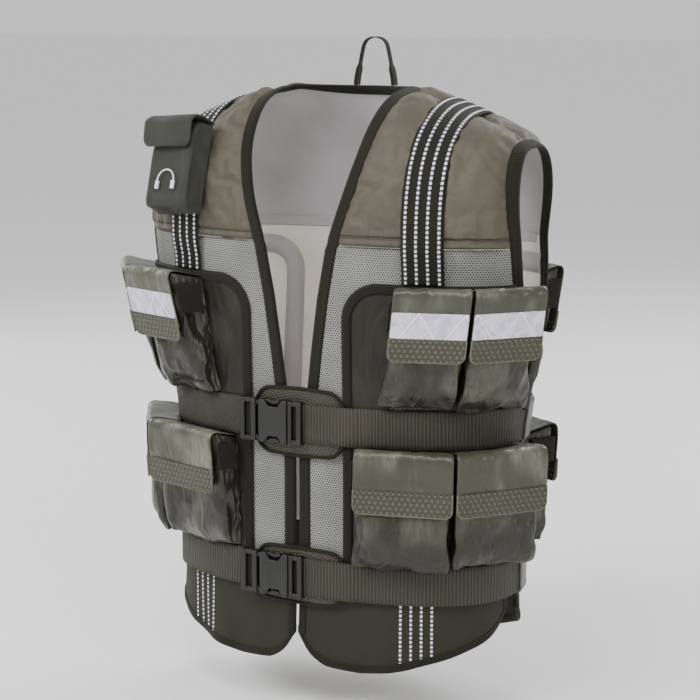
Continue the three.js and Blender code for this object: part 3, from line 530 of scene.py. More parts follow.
class Look:
    """A material under construction, with one principled shader."""

    def __init__(self, name, **constants):
        self.material = bpy.data.materials.new(name)
        self.material.use_nodes = True
        self.tree = self.material.node_tree
        self.tree.nodes.clear()
        self.shader = self.tree.nodes.new("ShaderNodeBsdfPrincipled")
        output = self.tree.nodes.new("ShaderNodeOutputMaterial")
        self.tree.links.new(self.shader.outputs[0], output.inputs["Surface"])
        for socket, given in constants.items():
            self.shader.inputs[socket.replace("_", " ")].default_value = given
        self.place = self.node("ShaderNodeTexCoord").outputs["Object"]

    def feed(self, socket, given):
        if isinstance(given, Value):
            given = given.socket
        if isinstance(given, bpy.types.NodeSocket):
            self.tree.links.new(given, socket)
        elif given is not None:
            if hasattr(socket.default_value, "__len__") and len(given) == 3:
                given = (*given, 1) if len(socket.default_value) == 4 else given
            socket.default_value = given

    def node(self, kind, settings=None, sockets=None):
        made = self.tree.nodes.new(kind)
        for name, given in (settings or {}).items():
            setattr(made, name, given)
        for name, given in (sockets or {}).items():
            self.feed(made.inputs[name], given)
        return made

    def threads(self):
        """Lengths across and along the piece, in metres, from its UV map."""
        node = self.node("ShaderNodeUVMap", {"uv_map": "UVMap"})
        parts = self.node("ShaderNodeSeparateXYZ", None, {"Vector": node.outputs[0]})
        return Value(self, parts.outputs["X"]), Value(self, parts.outputs["Y"])

    def cloud(self, size, detail=3.0, rough=0.55, bend=0.0, stretch=None):
        """Soft noise from 0 to 1, with patches of that many metres."""
        vector = self.place
        if stretch:
            vector = self.node("ShaderNodeMapping", None, {"Vector": vector, "Scale": stretch}).outputs[0]
        sockets = {
            "Vector": vector, "Scale": 1 / size, "Detail": detail, "Roughness": rough, "Distortion": bend
        }
        return Value(self, self.node("ShaderNodeTexNoise", None, sockets).outputs[0])

    def creases(self, size, bend=0.35):
        """Sharp crossing creases: 0 on a crease and 1 away from it."""
        drift = self.node(
            "ShaderNodeTexNoise", None, {"Vector": self.place, "Scale": 0.7 / size}
        ).outputs["Color"]
        pushed = self.node(
            "ShaderNodeVectorMath", {"operation": "MULTIPLY_ADD"},
            {0: drift, 1: (bend * size * 2,) * 3, 2: self.place}
        ).outputs[0]
        cells = self.node(
            "ShaderNodeTexVoronoi", {"feature": "DISTANCE_TO_EDGE"}, {"Vector": pushed, "Scale": 1 / size}
        )
        return Value(self, cells.outputs["Distance"]).rise(0, 0.28)

    def dots(self, x, y, pitch):
        """Distance from the nearest dot of a staggered grid, in pitches."""
        high = y / (pitch * 0.866)
        row = high.math("FLOOR")
        shift = (row * 0.5).fraction()
        side = (x / pitch + shift).fraction() - 0.5
        rise = (high.fraction() - 0.5) * 0.866
        return (side * side + rise * rise).math("SQRT")

    def blend(self, share, low, high):
        """Colour between two others."""
        node = self.node("ShaderNodeMix", {"data_type": "RGBA"})
        self.feed(node.inputs[0], share)
        self.feed(node.inputs[6], low)
        self.feed(node.inputs[7], high)
        return node.outputs[2]

    def finish(self, colour, rough=None, bump=None, depth=0.001, metal=None):
        self.feed(self.shader.inputs["Base Color"], colour)
        if rough is not None:
            self.feed(self.shader.inputs["Roughness"], rough)
        if metal is not None:
            self.feed(self.shader.inputs["Metallic"], metal)
        if bump is not None:
            node = self.node("ShaderNodeBump", None, {"Height": bump, "Distance": depth, "Strength": 1.0})
            self.tree.links.new(node.outputs[0], self.shader.inputs["Normal"])
        return self.material


def srgb(red, green, blue):
    """Base colour that shows as a screen colour from 0 to 255 under this studio's light."""
    return tuple(0.95 * (c / 255) ** 3.4 for c in (red, green, blue))


def shade(colour, factor):
    return tuple(min(c * factor, 1) for c in colour[:3])


def satin(name, colour):
    """Smooth satin with a fine twill, faint cloudy tone and small puckers, a painted highlight on its fold
    crests and painted shade in the groove above its hem.
    """
    look = Look(name, Sheen_Weight=0.05, Sheen_Roughness=0.4, Specular_IOR_Level=0.45)
    cloud = look.cloud(0.05, 2)
    fine = look.cloud(0.003, 2)
    x, y = look.threads()
    twill = (x + y).wave(0.0011) * 0.5 + (x - y).wave(0.0035) * 0.2
    folds = look.cloud(0.03, 3, 0.5, 0.6, stretch=(1.2, 1.2, 0.6))
    crisp = look.creases(0.034, 0.6)
    groove = abs(y - 0.0095).rise(0.0022, 0.0004)
    stitch = groove * (x / STITCH_PITCH).fraction().rise(*STITCH_START)
    seam = y.rise(0.045, 0.0)
    puckers = look.cloud(0.009, 2, 0.5, 0.3, stretch=(1, 1, 0.22)) * (seam + 0.12)
    tint = look.blend(cloud.rise(0.25, 0.75), shade(colour, 0.92), shade(colour, 1.1))
    # Painted highlight: lighter on the crests of the folds that also raise the bump
    tint = look.blend(folds.rise(0.5, 0.7) * 0.3, tint, shade(colour, 1.45))
    tint = look.blend(fine * 0.3 + twill * 0.3, tint, shade(colour, 0.55))
    # Painted shade: darker in the seam groove above the hem
    tint = look.blend(groove * 0.7, tint, shade(colour, 0.3))
    tint = look.blend(stitch * 0.4, tint, shade(colour, 0.7))
    rough = folds * 0.12 + 0.54
    height = folds * 0.6 + puckers * 1.2 + crisp * 0.28 + twill * 0.05 + fine * 0.05 - groove * 0.5
    return look.finish(tint, rough, height, 0.003)


def knit(name, colour, hole_shade, pitch, width=0.3, light=1.15):
    """Spacer mesh: a staggered grid of holes between rounded threads, the holes painted dark as the shade
    inside them.
    """
    look = Look(name, Sheen_Weight=0.05, Specular_IOR_Level=0.25)
    x, y = look.threads()
    far = look.dots(x, y, pitch)
    thread = far.rise(width - 0.1, width + 0.1)
    cloud = look.cloud(0.05, 3)
    tint = look.blend(cloud.rise(0.3, 0.7), shade(colour, 0.9), shade(colour, light))
    # Painted shade: the holes take the dark colour of the shade inside the openings
    tint = look.blend(thread, hole_shade, tint)
    return look.finish(tint, 0.85 - thread * 0.1, thread + cloud * 0.3, 0.0008)


def lining_cloth(name, colour):
    look = Look(name, Sheen_Weight=0.03, Specular_IOR_Level=0.2)
    x, y = look.threads()
    weave = x.wave(0.0012) * y.wave(0.0012)
    cloud = look.cloud(0.06, 3)
    tint = look.blend(cloud.rise(0.3, 0.7), shade(colour, 0.93), shade(colour, 1.06))
    return look.finish(tint, cloud * 0.1 + 0.7, weave * 0.3 + cloud * 1.2, 0.0012)


def tape(name, colour, stitch, pitch=0.0018):
    """Ribbed tape, with a line of stitches at each given distance from its middle, and painted highlight
    and shade on its ribs.
    """
    look = Look(name, Sheen_Weight=0.04, Specular_IOR_Level=0.2)
    x, y = look.threads()
    rib = y.wave(pitch)
    fuzz = look.cloud(0.003, 3)
    # Painted highlight and shade: lighter on the rib crests and darker between them, mixed with random
    # fibre tone
    tint = look.blend(rib * 0.45 + fuzz * 0.4, shade(colour, 0.72), shade(colour, 1.35))
    height = rib * 0.5 + fuzz * 0.35
    for line in stitch:
        near = abs(x - line).rise(0.0008, 0.0004)
        dash = near * (y / STITCH_PITCH).fraction().rise(*STITCH_START)
        tint = look.blend(dash * 0.8, tint, shade(colour, 1.7))
        height = height + dash * 0.8 - near * 0.4
    return look.finish(tint, 0.8 - rib * 0.12, height, 0.0007)


def belt_web(name, colour, pitch):
    """Belt webbing: a rounded rib in each pitch along it, crossed by fine threads, with painted highlight
    and shade on its ribs.
    """
    look = Look(name, Sheen_Weight=0.04, Specular_IOR_Level=0.25)
    x, y = look.threads()
    rib = y.wave(pitch)
    fine = x.wave(0.0012)
    fuzz = look.cloud(0.002, 2)
    wear = look.cloud(0.05, 3)
    # Painted highlight and shade: lighter on the rib crests and darker between them, mixed with random
    # fibre tone
    tint = look.blend(rib * 0.7 + fuzz * 0.25, shade(colour, 0.5), shade(colour, 1.35))
    tint = look.blend(wear.rise(0.45, 0.75) * 0.3, tint, shade(colour, 1.6))
    return look.finish(tint, 0.78 - rib * 0.14, rib + fine * 0.15 + fuzz * 0.2, 0.0011)


# Tint of the gloss on coated cloth
OLIVE_GLOSS = (0.94, 0.94, 0.84, 1)


def nylon(name, colour, shine, crease=0.03, depth=0.0035, rough=0.34, gloss=0.5):
    """Coated nylon: crumpled, with a painted sheen in broad patches broken by fine streaks."""
    look = Look(name, Sheen_Weight=0.03, Specular_IOR_Level=gloss, Specular_Tint=OLIVE_GLOSS)
    folds = look.cloud(crease, 3, 0.45, 1.2, stretch=(1.3, 1.3, 0.6))
    sharp = look.creases(crease * 1.6)
    weave = look.cloud(0.0011, 2)
    # Painted sheen: broad light patches broken by fine streaks, plus lighter fold crests
    broad = look.cloud(crease * 1.6, 1, 0.5, 0.5, stretch=(1.0, 1.0, 0.7)).rise(0.48, 0.74)
    streaks = look.cloud(crease * 0.22, 3, 0.6, 0.8, stretch=(1.5, 1.5, 0.3)).rise(0.3, 0.75)
    sheen_mask = broad * (streaks * 0.6 + 0.4) + folds.rise(0.55, 0.75) * 0.12
    # Colour of the painted sheen: the nylon lightened and partly greyed
    bright = shade(colour, shine)
    sheen_colour = tuple(mix(c, max(bright), 0.3) for c in bright)
    tint = look.blend(sheen_mask, shade(colour, 0.85), sheen_colour)
    tint = look.blend(weave * 0.25, tint, shade(colour, 0.5))
    height = folds * 1.7 + sharp * 0.5 + weave * 0.02
    return look.finish(tint, weave * 0.1 + rough, height, depth)


def reflective(name, colour, line):
    """Prismatic reflective sheet, with light diagonal seams between its panes."""
    look = Look(name, Coat_Weight=0.35, Coat_Roughness=0.15)
    x, y = look.threads()
    lean = (x / 0.046 + 0.25).fraction() - 0.5
    zig = abs(abs(lean) * 2 - (y / 0.034).fraction())
    seam = zig.rise(0.07, 0.02)
    cells = (x + y).wave(0.0023) * (x - y).wave(0.0023)
    cloud = look.cloud(0.014, 4, 0.6, 1.2)
    tint = look.blend(cloud.rise(0.35, 0.62), colour, shade(colour, 1.45))
    tint = look.blend(cells * 0.14, tint, shade(colour, 0.5))
    tint = look.blend(seam * 0.9, tint, line)
    rough = 0.42 - cloud * 0.2
    return look.finish(tint, rough, cells * 0.2 + seam * 0.5 + cloud * 0.9, 0.0011, metal=0.15)


def dashes(name, colour, gap, pitch):
    """Reflective cord that shows white in each stitch and dark between them."""
    look = Look(name, Coat_Weight=0.3)
    beat = (look.threads()[1] / pitch).fraction()
    lit = beat.rise(0.1, 0.2) * beat.rise(0.78, 0.66)
    fuzz = look.cloud(0.002, 2)
    tint = look.blend(lit, gap, colour)
    tint = look.blend(fuzz * 0.2, tint, shade(colour, 0.6))
    return look.finish(tint, 0.55 - lit * 0.2, lit + fuzz * 0.2, 0.0009)


def grip(name, colour, pitch):
    """Moulded cloth with a staggered grid of small domes, painted lighter on top as a highlight."""
    look = Look(name, Specular_IOR_Level=0.45, Specular_Tint=OLIVE_GLOSS)
    x, y = look.threads()
    dome = look.dots(x, y, pitch).rise(0.44, 0.16)
    cloud = look.cloud(0.02, 3)
    # Painted highlight: lighter on the domes, mixed with random tone
    tint = look.blend(dome * 0.8 + cloud * 0.3, shade(colour, 0.7), shade(colour, 1.9))
    return look.finish(tint, 0.5 - dome * 0.14, dome + cloud * 0.4, 0.0014)


def moulded(name, colour):
    """Moulded plastic with a faint grain and rubbed, lighter patches."""
    look = Look(name, Specular_IOR_Level=0.55)
    grain = look.cloud(0.0012, 3)
    rubbed = look.cloud(0.022, 4)
    tint = look.blend(rubbed.rise(0.4, 0.75) * 0.5, colour, shade(colour, 1.5))
    tint = look.blend(grain * 0.2, tint, shade(colour, 0.7))
    return look.finish(tint, 0.4 + grain * 0.15, grain + rubbed * 0.6, 0.0003)


def fuzzy(name, colour):
    """Loop side of a hook and loop fastener."""
    look = Look(name, Sheen_Weight=0.05, Sheen_Roughness=0.6, Specular_IOR_Level=0.2)
    curls = look.cloud(0.0022, 4, 0.7, 2.0)
    patch = look.cloud(0.012, 2)
    tint = look.blend(curls.rise(0.35, 0.7), shade(colour, 0.5), shade(colour, 1.9))
    tint = look.blend(patch * 0.3, tint, shade(colour, 0.7))
    return look.finish(tint, curls * 0.1 + 0.85, curls, 0.0014)


def neoprene(name, colour):
    look = Look(name, Sheen_Weight=0.06, Specular_IOR_Level=0.3)
    grain = look.cloud(0.0016, 3)
    soft = look.cloud(0.03, 3)
    tint = look.blend(soft.rise(0.35, 0.7), shade(colour, 0.88), shade(colour, 1.14))
    tint = look.blend(grain * 0.25, tint, shade(colour, 0.65))
    return look.finish(tint, 0.62 + grain * 0.14, grain * 0.25 + soft * 0.9, 0.0012)


def printed(name, colour):
    look = Look(name)
    speck = look.cloud(0.0009, 2)
    tint = look.blend(speck.rise(0.4, 0.8) * 0.2, colour, shade(colour, 0.7))
    return look.finish(tint, 0.55 + speck * 0.1, speck, 0.0001)


def ground(name, colour):
    look = Look(name)
    cloud = look.cloud(0.4, 3)
    tint = look.blend(cloud * 0.15, colour, shade(colour, 0.94))
    return look.finish(tint, 0.7 + cloud * 0.1)


# What a user would change
def colour_property(label, words, value):
    return FloatVectorProperty(
        name=label, description=words, subtype="COLOR", size=3, min=0, max=1, default=srgb(*value)
    )


def length_property(label, words, value):
    """value is in millimetres, and the property in metres."""
    return FloatProperty(
        name=label, description=words, default=value * MM, min=0, unit="LENGTH", precision=4
    )


class VestColours(bpy.types.PropertyGroup):
    satin: colour_property("Satin", "Padded yokes", (118, 114, 100))
    lining: colour_property("Lining", "Inside of the yokes", (214, 212, 213))
    front_mesh: colour_property("Front mesh", "Outside of the front mesh", (176, 176, 173))
    back_mesh: colour_property("Back mesh", "Outside of the back mesh", (150, 150, 150))
    inner_mesh: colour_property("Inner mesh", "Inside of the mesh", (255, 252, 244))
    # Colour painted into the mesh's holes as the shade inside them
    holes: colour_property("Mesh holes", "Dark holes in the mesh", (96, 96, 93))
    tape: colour_property("Binding tape", "Tape round the edges", (66, 64, 54))
    webbing: colour_property("Strap webbing", "Shoulder straps", (66, 65, 57))
    belt: colour_property("Belt webbing", "Belts and the belt's free end", (103, 102, 92))
    nylon: colour_property("Nylon", "Pocket bags and panels", (71, 70, 61))
    flap: colour_property("Flap nylon", "Pocket flaps", (104, 104, 93))
    grip: colour_property("Grip cloth", "Domed tabs on the flaps", (102, 102, 91))
    band: colour_property("Reflective band", "Bands on the upper flaps", (205, 204, 214))
    cord: colour_property("Reflective cord", "Stitched lines", (238, 238, 244))
    skirt: colour_property("Skirt", "Knitted cloth below the belt", (83, 82, 73))
    plastic: colour_property("Plastic", "Buckles", (46, 44, 32))
    neoprene: colour_property("Neoprene", "Music pouch", (85, 85, 78))
    floor: colour_property("Floor", "Plain floor", (253, 253, 253))


class VestSizes(bpy.types.PropertyGroup):
    cord_pitch: length_property("Cord pitch", "Between two reflective lines", 10.5)
    cord_width: length_property("Cord width", "Width of a reflective line", 2.6)
    dash_pitch: length_property("Dash pitch", "From one white stitch to the next", 4.6)
    mesh_pitch: length_property("Mesh pitch", "Between two holes of the mesh", 2.7)
    dome_pitch: length_property("Dome pitch", "Between two domes of the grip cloth", 6)
    rib_pitch: length_property("Rib pitch", "Between two ribs of the belts", 3.6)
    yoke_puff: length_property("Yoke puff", "Most that the yokes' cloth may swell", 5)
    bag_puff: length_property("Bag puff", "Most that a bag's cloth may swell", 6)
    band_height: length_property("Band height", "Height of a reflective band", 27)
    grip_height: length_property("Grip height", "Height of a domed tab", 24)
    bag_cuts: IntProperty(name="Bag cuts", description="Cuts across each side of a bag", default=17, min=4)
    azimuth: FloatProperty(
        name="Camera azimuth", description="Turn of the camera", default=math.radians(30), subtype="ANGLE"
    )
    elevation: FloatProperty(
        name="Camera elevation", description="Height of the camera", default=math.radians(9.5),
        subtype="ANGLE"
    )


LOOKS = {}


def look(key):
    """Each material, made when it is first needed."""
    if key not in LOOKS:
        c = bpy.context.scene.vest_colours
        s = bpy.context.scene.vest_sizes
        makers = {
            "satin": lambda: satin("yoke satin", c.satin),
            "lining": lambda: lining_cloth("yoke lining", c.lining),
            "front_mesh": lambda: knit("front spacer mesh", c.front_mesh, c.holes, s.mesh_pitch),
            # The back mesh's holes: painted shade, half as light as on the fronts
            "back_mesh": lambda: knit("back spacer mesh", c.back_mesh, shade(c.holes, 0.5), s.mesh_pitch),
            # The inner mesh's holes: painted shade, 0.72 of its colour
            "inner_mesh": lambda: knit(
                "inner mesh", c.inner_mesh, shade(c.inner_mesh, 0.72), pitch=0.0026, width=0.22, light=1.04
            ),
            "tape": lambda: tape("binding tape", c.tape, (0.003,)),
            "edge_tape": lambda: tape("panel binding", c.tape, (0.0035, -0.0035)),
            "inside_tape": lambda: lining_cloth("inside tape", shade(c.lining, 0.95)),
            "webbing": lambda: tape("strap webbing", c.webbing, (-0.0185, 0.0185), pitch=0.0016),
            "belt": lambda: belt_web("belt webbing", c.belt, s.rib_pitch),
            "nylon": lambda: nylon("bag nylon", c.nylon, shine=6.2),
            "panel": lambda: nylon(
                "panel nylon", shade(c.nylon, 0.95), shine=2.2, crease=0.04, depth=0.003, rough=0.48,
                gloss=0.35
            ),
            "flap": lambda: nylon("flap nylon", c.flap, shine=4.2, crease=0.034, depth=0.0022, rough=0.3),
            "loop_satin": lambda: nylon(
                "belt loop satin", shade(c.lining, 0.1), shine=2.0, crease=0.02, depth=0.0014
            ),
            "grip": lambda: grip("grip cloth", c.grip, s.dome_pitch),
            "pad": lambda: grip("tab cloth", shade(c.belt, 0.85), pitch=0.0038),
            # The piping is the flap nylon made 2.8 times lighter: a painted highlight along the tab's edge
            "piping": lambda: tape("tab edge", shade(c.flap, 2.8), (), pitch=0.0012),
            "band": lambda: reflective("reflective band", c.band, (0.9, 0.9, 0.92)),
            "cord": lambda: dashes("reflective cord", c.cord, shade(c.webbing, 0.6), s.dash_pitch),
            # The skirt's holes: painted shade, half as light as its cloth
            "skirt": lambda: knit(
                "skirt knit", shade(c.skirt, 1.15), shade(c.skirt, 0.5), pitch=0.0026, light=1.4
            ),
            "smooth_skirt": lambda: lining_cloth("skirt cloth", shade(c.skirt, 1.1)),
            "plastic": lambda: moulded("buckle plastic", c.plastic),
            "fuzzy": lambda: fuzzy("loop fastener", shade(c.tape, 0.8)),
            "neoprene": lambda: neoprene("pouch neoprene", c.neoprene),
            "print": lambda: printed("white print", c.cord),
            "floor": lambda: ground("pale floor", c.floor)
        }
        LOOKS[key] = makers[key]()
    return LOOKS[key]


def sheet(name, looks, grid, node, lining=0, subdivide=0):
    """A piece of one slab. grid holds the slab's columns, rows, spot and heights."""
    mesh = bmesh.new()
    size = slab(mesh, *grid, lining=lining)
    made = piece(name, mesh, [look(key) for key in looks], node, subdivide=subdivide)
    width, length = size["flat"], size["long"]
    area = min(sum(face.area for face in made.data.polygons) / 2, width * length)
    return made


# Yokes
def yoke_height(wide, tall):
    """Height of a yoke's cloth above the body: thin at its edges, with a groove above the rolled hem."""

    def height(u, v):
        side = min(u, 1 - u) * wide
        hem, top = v * tall, (1 - v) * tall
        rise = ease(min(side, top), 0, 13) * mix(0.55, 1, ease(abs(hem - HEM_SEAM_RISE), 0, 5))
        rise *= mix(0.45, 1, ease(hem, 0, 3))
        pucker = noise.noise(Vector((u * wide / 8, hem / 30, wide))) * ease(hem, 34, 8)
        pucker += noise.noise(Vector((side / 30, hem / 8, wide))) * ease(side, 30, 8)
        return mix(2.4, YOKE_THICKNESS + 1.6 * pucker, rise)

    return height


def pad_yoke(name, node, columns, rows, spot, wide, tall, strap_share):
    """Padded yoke, swollen between its edges, its hem seam and the strap sewn along it."""
    mesh = bmesh.new()
    height = yoke_height(wide, tall)
    grid = slab(mesh, columns, rows, spot, 0, height, lining=1)
    mesh.verts.index_update()
    held, share = [], []
    for corner in mesh.verts:
        j, i = grid["keys"][corner]
        u, v = i / columns, j / rows
        edge = min(min(u, 1 - u) * wide, (1 - v) * tall, v * tall)
        strap = min(abs(u - s) * wide for s in strap_share(v))
        seam = abs(v * tall - HEM_SEAM_RISE) < 0.6 * tall / rows
        free = corner in grid["high"] and edge > 2 and strap > STRAP_WIDTH / 2 - STRAP_STITCH_MARGIN
        held.append(not free or seam)
        share.append(ease(min(edge, strap - STRAP_WIDTH / 2, 12), 0, 10) if free else 0)
    made = piece(name, mesh, [look("satin"), look("lining")], node, subdivide=1)
    crumple(made, depth=0.8, size=30, seed=len(name), share=share, stretch=(1.5, 1.5, 0.6))
    inflate(made, held, pressure=3.0, slack=0.04, cap=bpy.context.scene.vest_sizes.yoke_puff / MM)


class VEST_OT_yokes(bpy.types.Operator):
    """Padded satin yokes over the shoulders, front and back"""

    bl_idname = "vest.yokes"
    bl_label = "Yokes"

    def execute(self, context):
        seam = math.degrees(SEAM_GAP / 2 / YOKE_HEM_DROP)
        for side, sign in SIDES:

            def front(u, v, sign=sign):
                turn = 90 * v
                x = mix(neck_edge(turn) + INSET, armhole_x(turn, INSET), u)
                return mirrored(arch(x, clamp(turn, seam, 90 - seam)), sign)

            def strap(v):
                turn = 90 * v
                low, high = neck_edge(turn) + INSET, armhole_x(turn, INSET)
                return [(STRAP_FRONT_X - low) / (high - low)]

            name = f"front_yoke_{side}"
            pad_yoke(f"padded_{name}", name, 36, 48, front, 150, 190, strap)

        @lru_cache(maxsize=None)
        def top_of(share):
            turn = 90.0
            for _ in range(8):
                x = share * armhole_x(max(turn, 90.01), INSET)
                turn = back_neck_turn(x, INSET)
            return max(turn, 90 + seam)

        def back(u, v):
            share = 2 * u - 1
            turn = mix(180 - seam, top_of(round(share, 5)), v)
            return arch(share * armhole_x(turn, INSET), turn)

        def back_strap(v):
            half = armhole_x(mix(180, 90, v), INSET)
            return [0.5 - STRAP_BACK_X / half / 2, 0.5 + STRAP_BACK_X / half / 2]

        pad_yoke("padded_back_yoke", "back_yoke", 92, 44, back, 380, 185, back_strap)
        return {"FINISHED"}


# Mesh and pocket panels
def mesh_side(level, back):
    if level >= ARMHOLE_FOOT:
        return armhole_place(level, back, INSET)
    gap = SEAM_GAP / 2 / quarter_length(level, back)
    return 1 + gap if back else 1 - gap


class VEST_OT_mesh(bpy.types.Operator):
    """Spacer mesh panels of the fronts and the back"""

    bl_idname = "vest.mesh"
    bl_label = "Mesh panels"

    def execute(self, context):
        top, foot = HEM_LEVEL - SEAM_GAP / 2, -LOWER_BELT_DROP + SEAM_GAP / 2
        for side, sign in SIDES:

            def front(u, v, sign=sign):
                level = mix(top, foot, v)
                inner = front_place(front_edge(level) + INSET, level)
                return mirrored(ring(mix(inner, mesh_side(level, False), u), level), sign)

            name = f"front_mesh_{side}"
            sheet(
                f"spacer_{name}", ("front_mesh", "inner_mesh"), (34, 70, front, 0, MESH_THICKNESS), name,
                lining=1
            )

        def back(u, v):
            level = mix(top, foot, v)
            side = mesh_side(level, True)
            return ring(mix(side, 4 - side, u), level)

        sheet(
            "spacer_back_mesh", ("back_mesh", "inner_mesh"), (80, 70, back, 0, MESH_THICKNESS), "back_mesh",
            lining=1
        )
        return {"FINISHED"}


def panel_edge(level):
    """Distance of a pocket panel's inner edge from the centre line, rounded at its top corner."""
    into = clamp(1 - (-POCKET_PANEL_DROP - level) / PANEL_CORNER)
    return PANEL_INNER_X + PANEL_CORNER * (1 - math.sqrt(1 - into**2))


def panel_path(back, width, top=-POCKET_PANEL_DROP, inner=PANEL_INNER_X):
    """Stations along a bound edge: along its top, round its corner, then down its inner side."""
    place = back_place if back else front_place
    corner_x = inner + PANEL_CORNER
    stations = []
    side, turn = mesh_side(top, back), place(corner_x, top)
    for share in np.linspace(0, 1, 26)[:-1]:
        stations.append(lambda u, s=share: ring(mix(side, turn, s), top - u * width))
    for angle in np.linspace(0, math.pi / 2, 13):

        def round_corner(u, angle=angle):
            reach = PANEL_CORNER - u * width
            level = top - PANEL_CORNER + reach * math.cos(angle)
            return ring(place(corner_x - reach * math.sin(angle), level), level)

        stations.append(round_corner)
    for level in np.linspace(top - PANEL_CORNER, -LOWER_BELT_DROP + 1, 64)[1:]:
        stations.append(lambda u, z=level: ring(place(inner + u * width, z), z))
    return stations


def under_belts(level, low, high):
    """low under the two belts and high clear of them."""
    near = min(abs(level + UPPER_BELT_DROP), abs(level + LOWER_BELT_DROP))
    return mix(low, high, ease(near, BELT_WIDTH / 2, BELT_WIDTH / 2 + 6))


class VEST_OT_panels(bpy.types.Operator):
    """Nylon pocket panels, the tape that binds them and the grey tape behind their edges"""

    bl_idname = "vest.panels"
    bl_label = "Pocket panels"

    def execute(self, context):
        for side, sign in SIDES:
            for face, back in (("front", False), ("back", True)):

                def spot(u, v, sign=sign, back=back):
                    level = mix(-POCKET_PANEL_DROP - 1, -LOWER_BELT_DROP + 0.4, v)
                    x = panel_edge(level)
                    start = (back_place if back else front_place)(x, level)
                    return mirrored(ring(mix(start, mesh_side(level, back), u), level), sign)

                def outer(u, v):
                    level = mix(-POCKET_PANEL_DROP, -LOWER_BELT_DROP, v)
                    fold = noise.noise(Vector((u * 9, v * 5, side == "left")))
                    free = under_belts(level, 0, 1) * ease(min(u, 1 - u), 0, 0.1)
                    return PANEL_FACE + PANEL_THICKNESS + free * max(0, fold) * 2.4

                name = f"{face}_pocket_panel_{side}"
                sheet(
                    f"nylon_{name}", ("panel",), (40, 76, spot, PANEL_FACE, outer), name,
                )
                path = panel_path(back, PANEL_ROLL_WIDTH)
                rows = len(path) - 1

                def crown(u, v, path=path, rows=rows):
                    level = path[round(v * rows)](0)[0][2]
                    bulge = math.sqrt(max(1 - (2 * u - 1) ** 4, 0))
                    return mix(5.2, under_belts(level, 5.7, 7.0), bulge)

                mesh = bmesh.new()
                strip(mesh, mirrored_path(path, sign), PANEL_ROLL_LOW, crown)
                piece(f"{name}_binding", mesh, [look("edge_tape")])

            mesh = bmesh.new()
            path = panel_path(True, INSIDE_TAPE_WIDTH, INSIDE_TAPE_TOP, INSIDE_TAPE_X)
            strip(mesh, mirrored_path(path, sign), -1.3, -0.25, columns=2)
            piece(f"inside_tape_{side}", mesh, [look("inside_tape")])

        def seam(u, v):
            side = mesh_side(HEM_LEVEL, True) + 0.03
            place = mix(side, 4 - side, u)
            if v < 0.7:
                return ring(place, mix(INSIDE_HEM_FOOT, HEM_LEVEL, v / 0.7))
            return arch(ring(place, HEM_LEVEL)[0][0], 180 - 2.4 * (v - 0.7) / 0.3)

        mesh = bmesh.new()
        slab(mesh, 60, 10, seam, -1.2, -0.2)
        piece("inside_hem_tape", mesh, [look("inside_tape")])
        return {"FINISHED"}


# Bindings
def rolled(middle, half):
    """Inner and outer heights of a tape folded over an edge."""

    def thick(u):
        near = min(u / 0.3, (1 - u) / 0.12, 1)
        return half * max(math.sqrt(max(1 - (1 - near) ** 2, 0)), 0.15)

    return (lambda u, v: middle - thick(u) * 0.9, lambda u, v: middle + thick(u))


class VEST_OT_bindings(bpy.types.Operator):
    """Folded tape along the fronts and neck, and round each armhole"""

    bl_idname = "vest.bindings"
    bl_label = "Bindings"

    def execute(self, context):
        width = EDGE_ROLL[0]
        low = [
            lambda u, z=z: ring(front_place(front_edge(z) + u * width, z), z)
            for z in np.linspace(-LOWER_BELT_DROP + 0.4, HEM_LEVEL, 90)[:-1]
        ]
        rise = [lambda u, t=t: arch(neck_edge(t) + u * width, t) for t in np.linspace(0, 90, 52)]
        behind = [
            lambda u, s=s: arch(
                s * (NECK_HALF_WIDTH + u * width),
                back_neck_turn(s * (NECK_HALF_WIDTH + u * width), u * width)
            )
            for s in np.linspace(1, -1, 46)[1:-1]
        ]
        left = low + rise
        inner, outer = rolled(*EDGE_ROLL[1:])
        mesh = bmesh.new()
        strip(mesh, left + behind + mirrored_path(reversed(left), -1), inner, outer, columns=8)
        piece("rolled_neck_binding", mesh, [look("tape")], "neck_binding")
        for side, sign in SIDES:

            def up(z, back):
                return lambda u: ring(armhole_place(z, back, u * width), z)

            levels = np.linspace(ARMHOLE_FOOT + SEAM_GAP, HEM_LEVEL, 38)[:-1]
            over = [lambda u, t=t: arch(armhole_x(t, u * width), t) for t in np.linspace(0, 180, 84)]
            path = [up(z, False) for z in levels] + over
            path += [up(z, True) for z in reversed(levels)]
            mesh = bmesh.new()
            strip(mesh, mirrored_path(path, sign), inner, outer, columns=8)
            name = f"armhole_binding_{side}"
            piece(f"rolled_{name}", mesh, [look("tape")], name)
        return {"FINISHED"}


# Straps
def strap_spot(across, v, sign):
    """A spot on the shoulder strap: v runs from its front end over the shoulder to its back end."""
    share = STRAP_END_SHARE
    foot = -POCKET_PANEL_DROP + 0.5
    if v < share:
        level = mix(foot, HEM_LEVEL, v / share)
        spot = ring(front_place(STRAP_FRONT_X + across, level), level)
    elif v > 1 - share:
        level = mix(foot, HEM_LEVEL, (1 - v) / share)
        spot = ring(back_place(STRAP_BACK_X + across, level), level)
    else:
        turn = 180 * (v - share) / (1 - 2 * share)
        middle = mix(STRAP_FRONT_X, STRAP_BACK_X, ease(turn, 60, 120))
        spot = arch(middle + across, turn)
    return mirrored(spot, sign)


def strap_height(v):
    """Height of the strap's underside: on the panel at its ends, and over the yoke between."""
    return mix(OVER_PANEL, OVER_YOKE, ease(min(v, 1 - v), 0.02, STRAP_END_SHARE))


